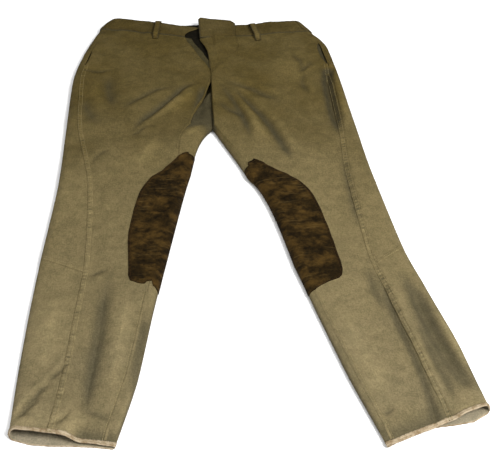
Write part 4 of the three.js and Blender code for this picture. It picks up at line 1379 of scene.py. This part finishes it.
@dataclass
class KneePatch:
    """The suede patch on the inside of one knee.

    Attributes:
        half: the half it is on.
        reach: (station, distance of its outer side from the leg's inner edge).
        top: first station, from the inner to the outer side.
        bottom: last station, from the inner to the outer side.
        creases: of the leather.
    """

    half: Half
    reach: list
    top: list
    bottom: list
    creases: tuple

    def grid(self) -> tuple[Array, Array]:
        """Points of the patch and its tone: rows run from its top to its bottom, columns from the inner edge."""
        f = self.half.form
        c, t = np.linspace(0, 1, 76), np.linspace(0, 1, 190)
        first = np.interp(c, np.linspace(0, 1, len(self.top)), self.top)
        last = through(c * (len(self.bottom) - 1), self.bottom)
        v = first + (last - first) * t[:, None]
        stations, wide = np.asarray(self.reach, float).T
        knots = np.interp(v, stations, np.arange(len(stations)))
        out = through(knots.ravel(), wide).reshape(v.shape)
        end = f.turn(v, np.maximum(out, 2.0))
        rise = np.minimum(0.6 * end - 0.2, 0.0)  # where the columns that hang on the inner side give way
        cut = 0.16  # the share of them
        q = np.where(c < cut, -0.5 + (rise + 0.5) * c / cut, rise + (end - rise) * (c - cut) / (1 - cut))
        flat = f.at(v, q, lift=1.25)
        edge = np.minimum(c, 1 - c)[None] * out
        ends = np.minimum(t, 1 - t)[:, None] * 250
        rim = smoothstep(np.minimum(np.where(c > 0.5, edge, 9.0), ends) / 6.0)
        x, y = flat[..., 0], flat[..., 1]
        worn = sum((k.height(x, y) for k in self.creases), np.zeros_like(x))
        worn += Swell(61, 9, 30, 0.45).at(x, y) + Swell(62, 3.5, 9, 0.16).at(x, y)
        worn = np.maximum(worn, -0.75)
        share = np.clip((flat[..., 2] - 6) / 6, 0, 1)
        flat[..., 2] += share * (worn * (0.25 + 0.75 * rim) - 0.35 * (1 - rim))
        # The tone: painted shade in the leather's creases and painted highlight on its swells (worn holds their
        # heights), painted shade where the patch turns down the side, and darker within about 6 mm of its outer side
        # and ends.
        return flat, np.clip(worn / 2.0, -1, 0.6) - 0.75 * (1 - rim) - 0.4 * (1 - share)

    def build(self) -> None:
        """The patch and its two rows of stitches."""
        h = self.half
        grid, tone = self.grid()
        h.cloth("knee_patch_suede", grid, CLOTH, h.maker.finishes.suede, "suede",
                ("knee_patch_upper", "knee_patch_lower"), body=h.bend, rests=(f"{h.name}_front_cloth",), tone=tone)
        normal = normals_of(grid, flip=h.left)
        lines = []
        for k in (3, 6):
            loop, up = (np.concatenate([a[2, 14:-k], a[2:-3, -k], a[-3, -k:13:-1]]) for a in (grid, normal))
            lines.append((loop + 0.1 * up, up))
        h.sew("patch_stitches", lines, h.maker.finishes.brown_thread, "knee_patch_suede", pitch=2.8, length=2.0,
              width=0.5)


# ---------------------------------------------------------------- the waist


@dataclass
class Waist:
    """The waistband with its lining, its belt loops, the tab and the fly."""

    right: Half
    left: Half
    maker: Maker
    loop_width: float = 10.5
    loop_clear: float = 5.6

    def bands(self) -> None:
        """Both halves of the waistband: folded cloth outside, lining inside, stitched along the seam."""
        m = self.maker
        front = 0.42  # share of the columns that lie on the front
        share = np.linspace(0, 1, BAND_COLUMNS)
        v = np.linspace(0, WAIST_SEAM + 0.06, BAND_ROWS)
        edge = np.minimum(np.linspace(0, 1, BAND_ROWS), np.linspace(1, 0, BAND_ROWS))[:, None] * BAND_ROWS
        for half in (self.right, self.left):
            f = half.form
            slant = 0.0 if half.left else 30.0 * (1 - v.clip(0, 1)) ** 1.6
            inner = f.turn(v, through(v, f.inseam) + 0.2 - slant)
            q = np.interp(share, [0, front, 0.56, 1], [0, 1, 2, 2.999])
            q = np.where(share < front, inner[:, None] + (1 - inner[:, None]) * share / front, q)
            crown = 0.5 + 0.55 * np.sqrt(np.clip(edge / 3.5, 0, 1)) + 0.16 * ripple(q * 120, 9, 71)
            sink = half.sink(v[:, None], f.width(v)[:, None] * q)
            grid = f.at(v[:, None], q, lift=crown, sink=sink)
            # Painted shade along the band's top and bottom edges, where the seams lie, and where it turns down the
            # outer side; slightly lighter elsewhere.
            tone = 0.1 - 0.9 * np.exp(-((edge / 1.6) ** 2)) * np.ones_like(q) - 0.5 * smoothstep((q - 1) / 0.5)
            half.cloth("waistband_cloth", grid, 1.6, m.finishes.band, "waistband_twill", ("waistband",), tone=tone)
            inside = f.at(v[1:-1, None], q[1:-1], lift=-1.35, sink=sink[1:-1])
            half.cloth("waistband_lining_cloth", inside, 0.6, m.finishes.dark, "dark_lining", ("waistband_lining",))
            normal = normals_of(grid, flip=half.left)
            lines = [(grid[row] + 0.1 * normal[row], normal[row]) for row in (3, 22)]
            half.sew("waistband_stitches", lines, m.finishes.dark_thread, "waistband_cloth")

    def arch(self, name: str, start: tuple, end: tuple, base: float) -> None:
        """A belt loop that stands clear of the band between its two sewn ends.

        Its height over the path is clear * smoothstep of the way up each ramp, and it is slightly crowned across.

        Args:
            name: of its CAD node.
            start: of its centre line in plan.
            end: of its centre line in plan.
            base: height of the band under it.
        """
        m = self.maker
        a, b = np.asarray(start, float), np.asarray(end, float)
        length = float(np.hypot(*(b - a)))
        t = np.linspace(-0.5, length, 60)
        rise = smoothstep((t - 4) / 6) * smoothstep((length - 3 - t) / 6)
        c = np.linspace(-0.5, 0.5, 13)
        ahead = (b - a) / length
        side = np.array([ahead[1], -ahead[0]])
        xy = a + t[:, None, None] * ahead + self.loop_width * c[None, :, None] * side
        z = base + 2.3 + self.loop_clear * rise[:, None] - 0.8 * np.abs(2 * c) ** 4 + 0.25 * np.sin(t / 4)[:, None] * c
        grid = np.concatenate([xy, z[..., None]], -1)
        # Painted highlight along the loop's middle, painted shade along its sides and at its sewn ends.
        tone = np.broadcast_to(0.75 - 1.6 * np.abs(2 * c) ** 3, z.shape) - 0.5 * (1 - rise)[:, None]
        m.cloth(f"{name}_cloth", grid, 1.3, m.finishes.band, "waistband_twill", (name,), tone=tone)
        lines = [flat_line(line, 0.05) for line in (grid[:, 2], grid[:, 10], grid[3], grid[5], grid[55])]
        m.sew(f"{name}_stitches", lines, m.finishes.dark_thread, f"{name}_cloth", pitch=2.2, length=1.7, width=0.5)

    def loops(self) -> None:
        """Two loops in front, one at each side and one at the back."""
        m = self.maker
        self.arch("right_front_belt_loop", (-101, 413), (-93, 469), 17.6)
        self.arch("left_front_belt_loop", (84, 387), (75, 441), 20.6)
        for half in (self.right, self.left):
            v, q = np.linspace(0.12, 0.97, 26)[:, None], np.linspace(1.02, 1.5, 12)
            grid = half.form.at(v, q, lift=1.9 + 0.4 * np.sin(np.pi * v))
            half.cloth("side_belt_loop_cloth", grid, 1.2, m.finishes.band, "waistband_twill", ("side_belt_loop",))
        self.slab("back_belt_loop", m.finishes.band, "waistband_twill", 1.1, under=True)

    def slab(self, node: str, finish: Material, slot: str, thickness: float, under: bool = False,
             wave: float = 0.15) -> None:
        """A flat strip of cloth where the node lies, a little uneven.

        Args:
            node: the CAD node it stands for.
            finish: its material.
            slot: the record's material slot.
            thickness: of the cloth.
            under: it lies at the node's underside, not at its top.
            wave: height of its unevenness.
        """
        low, high = (np.asarray(corner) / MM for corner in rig.box(node))
        gx, gy = np.meshgrid(np.linspace(low[0], high[0], 30), np.linspace(low[1], high[1], 60))
        if under:
            z = np.maximum(low[2] + 0.05 * np.sin(gy / 5), 0.1) + thickness
        else:
            z = high[2] + 0.1 + Swell(81, 12, 40, wave).at(gx, gy)
        self.maker.cloth(f"{node}_cloth", np.stack([gx, gy, z], -1), thickness, finish, slot, (node,))

    def flap(self) -> None:
        """The fly's flap, which hangs on the left front and covers the zip."""
        m, f = self.maker, self.left.form
        v = f.rows(WAIST_SEAM - 0.08, FLY_BASE - 0.03, 1.7)
        free = np.interp(v, [0.9, 1.0, 1.7, 2.35, 2.6, 3.0], [-18.5, -18, -10, -3, -0.5, 0.6])
        hinge = through(v, f.inseam) - 0.15
        s = free[:, None] + (np.maximum(hinge, free + 1) - free)[:, None] * np.linspace(0, 1, 60)
        xy = f.on_row(v, s)
        x, y = xy[..., 0], xy[..., 1]
        z = (through(v, f.height) + CLOTH / 2)[:, None] + f.relief(x, y)
        z += Fold(((1, 412), (2, 392), (1, 372)), -2.4, 4.0, 0.4, True, False).height(x, y)
        z -= 1.2 * smoothstep((2.0 - (s - free[:, None])) / 2.0) * (v < 2.5)[:, None]
        grid = np.concatenate([xy, z[..., None]], -1)
        bend = ("hips", "fly_front", FLY_HINGE, FLY_TURNED)
        m.cloth("fly_flap_cloth", grid, CLOTH, m.finishes.khaki, "khaki_twill", ("fly_flap",), bend,
                ("left_front_cloth",), flip=True)
        m.sew("fly_stitches", [flat_line(grid[:, 3])], m.finishes.dark_thread, "fly_flap_cloth")

    def turnback(self) -> None:
        """The turned-back edge of the right front, beside the zip."""
        m, f = self.maker, self.right.form
        v = f.rows(1.04, 2.72, 1.7)
        c = np.linspace(0, 1, 14)
        s = (through(v, f.inseam) - 12)[:, None] + 11.6 * c
        xy = f.on_row(v, np.maximum(s, 0.3 + 0.3 * c))
        z = 15.3 + 0.9 * c[None] ** 2 + 0.25 * ripple(v * 80, 14, 91)[:, None]
        grid = np.concatenate([xy, z[..., None]], -1)
        m.cloth("right_fly_turnback_cloth", grid, 0.8, m.finishes.inside, "turned_back_twill",
                ("right_fly_turnback",))

    def fly(self) -> None:
        """The flap, the tab, the underlap, the facing, the zip's tapes and the turned-back edge."""
        finishes = self.maker.finishes
        self.flap()
        self.tab()
        # The underlap's near-black finish is painted shade for the deep gap between the tab and the turned-back edge.
        self.slab("fly_underlap", finishes.dark, "dark_lining", 1.0, wave=0.5)
        self.slab("left_fly_facing", finishes.inside, "lining", 1.0)
        for side in ("right", "left"):
            self.slab(f"{side}_zip_tape", finishes.zip_tape, "zip_tape", 0.6, wave=0.05)
        self.turnback()

    def tab(self) -> None:
        """The end of the left waistband, which buttons over the right one: doubled cloth with a cut corner."""
        m = self.maker
        free, sewn = -21, 46
        x = np.linspace(free, sewn, 60)
        top = np.interp(x, [free, -17, 38, sewn], [463, 468, 457, 446])
        bottom = np.interp(x, [free, sewn], [404.5, 401.5])
        y = top + (bottom - top) * np.linspace(0, 1, 50)[:, None]
        gx = np.broadcast_to(x, y.shape)
        z = 23.2 + Swell(95, 14, 50, 0.7).at(gx, y)
        edge = np.minimum(np.minimum(y - bottom, top - y), gx - free)
        z -= 0.8 * (1 - smoothstep(edge / 3.0))
        z += Fold(((2, 400), (1, 416), (-1, 430)), -2.2, 4.0, 0.5, True, False).height(gx, y)
        z += 1.3 * np.exp(-(((gx + 14) / 9) ** 2)) * smoothstep((y - 425) / 25)
        z -= 1.4 * smoothstep((412 - y) / 10) + 1.5 * smoothstep((gx - 36) / 10)
        grid = np.stack([gx, y, z], -1)
        # Painted shade along the tab's edges and towards its sewn end, where it dips.
        tone = 0.05 - 0.9 * np.exp(-((edge / 1.8) ** 2)) - 0.3 * smoothstep((gx - 34) / 12)
        m.cloth("waist_tab_cloth", grid, 1.9, m.finishes.band, "waistband_twill", ("waist_tab",), "fly_front",
                flip=True, tone=tone)
        lines = [flat_line(line) for line in (grid[2], grid[44], grid[:, 3])]
        m.sew("waist_tab_stitches", lines, m.finishes.dark_thread, "waist_tab_cloth")

    def metal(self) -> None:
        """The zip's teeth, stops, slider and pull in brass, the hook and bar in nickel."""
        brass = ("right_zip_teeth", "left_zip_teeth", "right_zip_top_stop", "left_zip_top_stop", "zip_bottom_stop",
                 "zip_slider", "zip_pull")
        finishes = self.maker.finishes
        for names, finish in ((brass, finishes.brass), (("waist_hook", "waist_bar"), finishes.nickel)):
            for name in names:
                materials = frame["nodes"][name].data.materials
                materials.clear()
                materials.append(finish)
                log.info("%s: finish %s", name, finish.name)


# ---------------------------------------------------------------- floor, light and camera


@dataclass(frozen=True)
class Studio:
    """A pale floor, a soft key light and a broad fill from above, and the camera.

    Attributes:
        target: the point that the camera looks at, in metres.
        distance: from it to the camera.
        azimuth: of the camera, in degrees.
        elevation: of the camera, in degrees.
        lens: focal length for a 36 mm wide film.
    """

    target: tuple = (0.0277, -0.0921, 0.0)
    distance: float = 1.545
    azimuth: float = -4.88
    elevation: float = 42.5
    lens: float = 75.6

    def away(self, azimuth: float, elevation: float) -> Vector:
        """The unit vector towards a direction, given in degrees."""
        a, e = math.radians(azimuth), math.radians(elevation)
        return Vector((math.sin(a) * math.cos(e), -math.cos(a) * math.cos(e), math.sin(e)))

    def add(self, name: str, data: bpy.types.ID, towards: Vector, distance: float,
            target: tuple = (0, 0, 0)) -> Object:
        """Puts a lamp or a camera at a distance from a point, facing it."""
        made = bpy.data.objects.new(name, data)
        bpy.context.scene.collection.objects.link(made)
        made.location = Vector(target) + towards * distance
        made.rotation_euler = (-towards).to_track_quat("-Z", "Y").to_euler()
        return made

    def floor(self) -> None:
        """A wide pale floor."""
        bpy.ops.mesh.primitive_plane_add(size=12, location=(0, 0, -0.0004))
        plane = bpy.context.object
        plane.name = "floor"
        w = Paint("floor")
        tone = w.mix(w.noise(w.place, 3.0, 2.0), tint(246, 246, 246), tint(243, 243, 243))
        w.join(w.shader, {"Base Color": tone, "Roughness": 0.9})
        plane.data.materials.append(w.material)
        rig.stage(plane)

    def lamp(self, name: str, azimuth: float, elevation: float, distance: float, size: float, power: float) -> None:
        """A square soft light that faces the middle of the floor."""
        data = bpy.data.lights.new(name, "AREA")
        data.shape, data.size, data.energy = "SQUARE", size, power
        self.add(name, data, self.away(azimuth, elevation), distance)

    def light(self) -> None:
        """A key light from one side, a broad fill from the other and a pale surround."""
        self.lamp("key", 36, 48, 2.6, 0.8, 100)
        self.lamp("fill", -30, 65, 3.0, 2.4, 50)
        world = bpy.data.worlds.new("surround")
        world.use_nodes = True
        surround = world.node_tree.nodes["Background"].inputs
        surround[0].default_value, surround[1].default_value = (1.0, 1.0, 1.0, 1.0), 0.3
        bpy.context.scene.world = world
        bpy.context.scene.view_settings.view_transform = "Standard"

    def camera(self) -> None:
        """The camera, turned to its target."""
        data = bpy.data.cameras.new("camera")
        data.lens, data.sensor_width = self.lens, 36.0
        towards = self.away(self.azimuth, self.elevation)
        bpy.context.scene.camera = self.add("camera", data, towards, self.distance, self.target)


def main() -> None:
    """Sets the stage, then builds the halves, the patches and the waist in order."""
    studio = Studio()
    studio.camera()
    studio.floor()
    studio.light()
    maker = Maker(Wardrobe())
    right, left = Half(right_form(), maker), Half(left_form(), maker)
    for half in (right, left):
        half.back()
        half.front()
        half.seams()
        half.pocket()
        half.hem()
    KneePatch(
        right,
        reach=[(4.5, 18), (4.58, 22), (4.68, 29), (4.8, 40), (5, 57), (5.25, 66), (5.6, 64), (6, 52), (6.3, 46),
               (6.42, 41), (6.5, 32), (6.6, 24)],
        top=[4.60, 4.555, 4.55, 4.575, 4.62],
        bottom=[6.58, 6.5, 6.41, 6.42, 6.47, 6.47, 6.43],
        creases=(
            Fold(((-75, 10), (-95, 2), (-118, 8)), -1.4, 3.2, 0.5),
            Fold(((-72, -25), (-92, -28), (-112, -20), (-130, -24)), -1.3, 3.0, 0.5),
            Fold(((-82, -52), (-102, -60), (-126, -52)), -1.2, 3.0, 0.5),
            Fold(((-84, -75), (-104, -70), (-120, -84)), -1.1, 3.0, 0.4),
            Fold(((-90, -105), (-112, -98), (-136, -106)), -0.9, 3.5, 0.3),
            Fold(((-100, -160), (-118, -166), (-138, -160)), -1.0, 3.0, 0.4),
            Fold(((-106, -186), (-120, -182), (-136, -188)), -1.1, 2.6, 0.4),
        ),
    ).build()
    KneePatch(
        left,
        reach=[(4.6, 18), (4.74, 22), (4.77, 28), (4.81, 34), (4.95, 45), (5.05, 56), (5.3, 67), (5.6, 66), (6, 62),
               (6.2, 59), (6.36, 54), (6.42, 48), (6.6, 46)],
        top=[4.9, 4.835, 4.8, 4.775, 4.745],
        bottom=[6.58, 6.53, 6.48, 6.44, 6.42],
        creases=(
            Fold(((48, 0), (66, -14), (92, -16), (112, -24)), -1.5, 3.0, 0.5),
            Fold(((62, -40), (84, -44), (108, -36)), -1.3, 3.0, 0.5),
            Fold(((66, -58), (86, -66), (112, -62)), -1.2, 3.0, 0.5),
            Fold(((74, -86), (96, -82), (124, -92)), -1.1, 3.2, 0.4),
            Fold(((80, -120), (100, -114), (128, -122)), -1.0, 3.4, 0.4),
            Fold(((88, -160), (110, -152), (132, -160)), -0.8, 3.4, 0.3),
            Fold(((92, -200), (112, -194), (136, -196)), -1.0, 3.0, 0.4),
        ),
    ).build()
    waist = Waist(right, left, maker)
    waist.bands()
    waist.loops()
    waist.fly()
    waist.metal()
    maker.declare()
    log.info("%d pieces", maker.count)
    with open("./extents.json", "w") as out:
        json.dump({"cad": CAD_BOX, "visual": [list(corner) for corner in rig.bounds()]}, out)


if __name__ == "__main__":
    main()
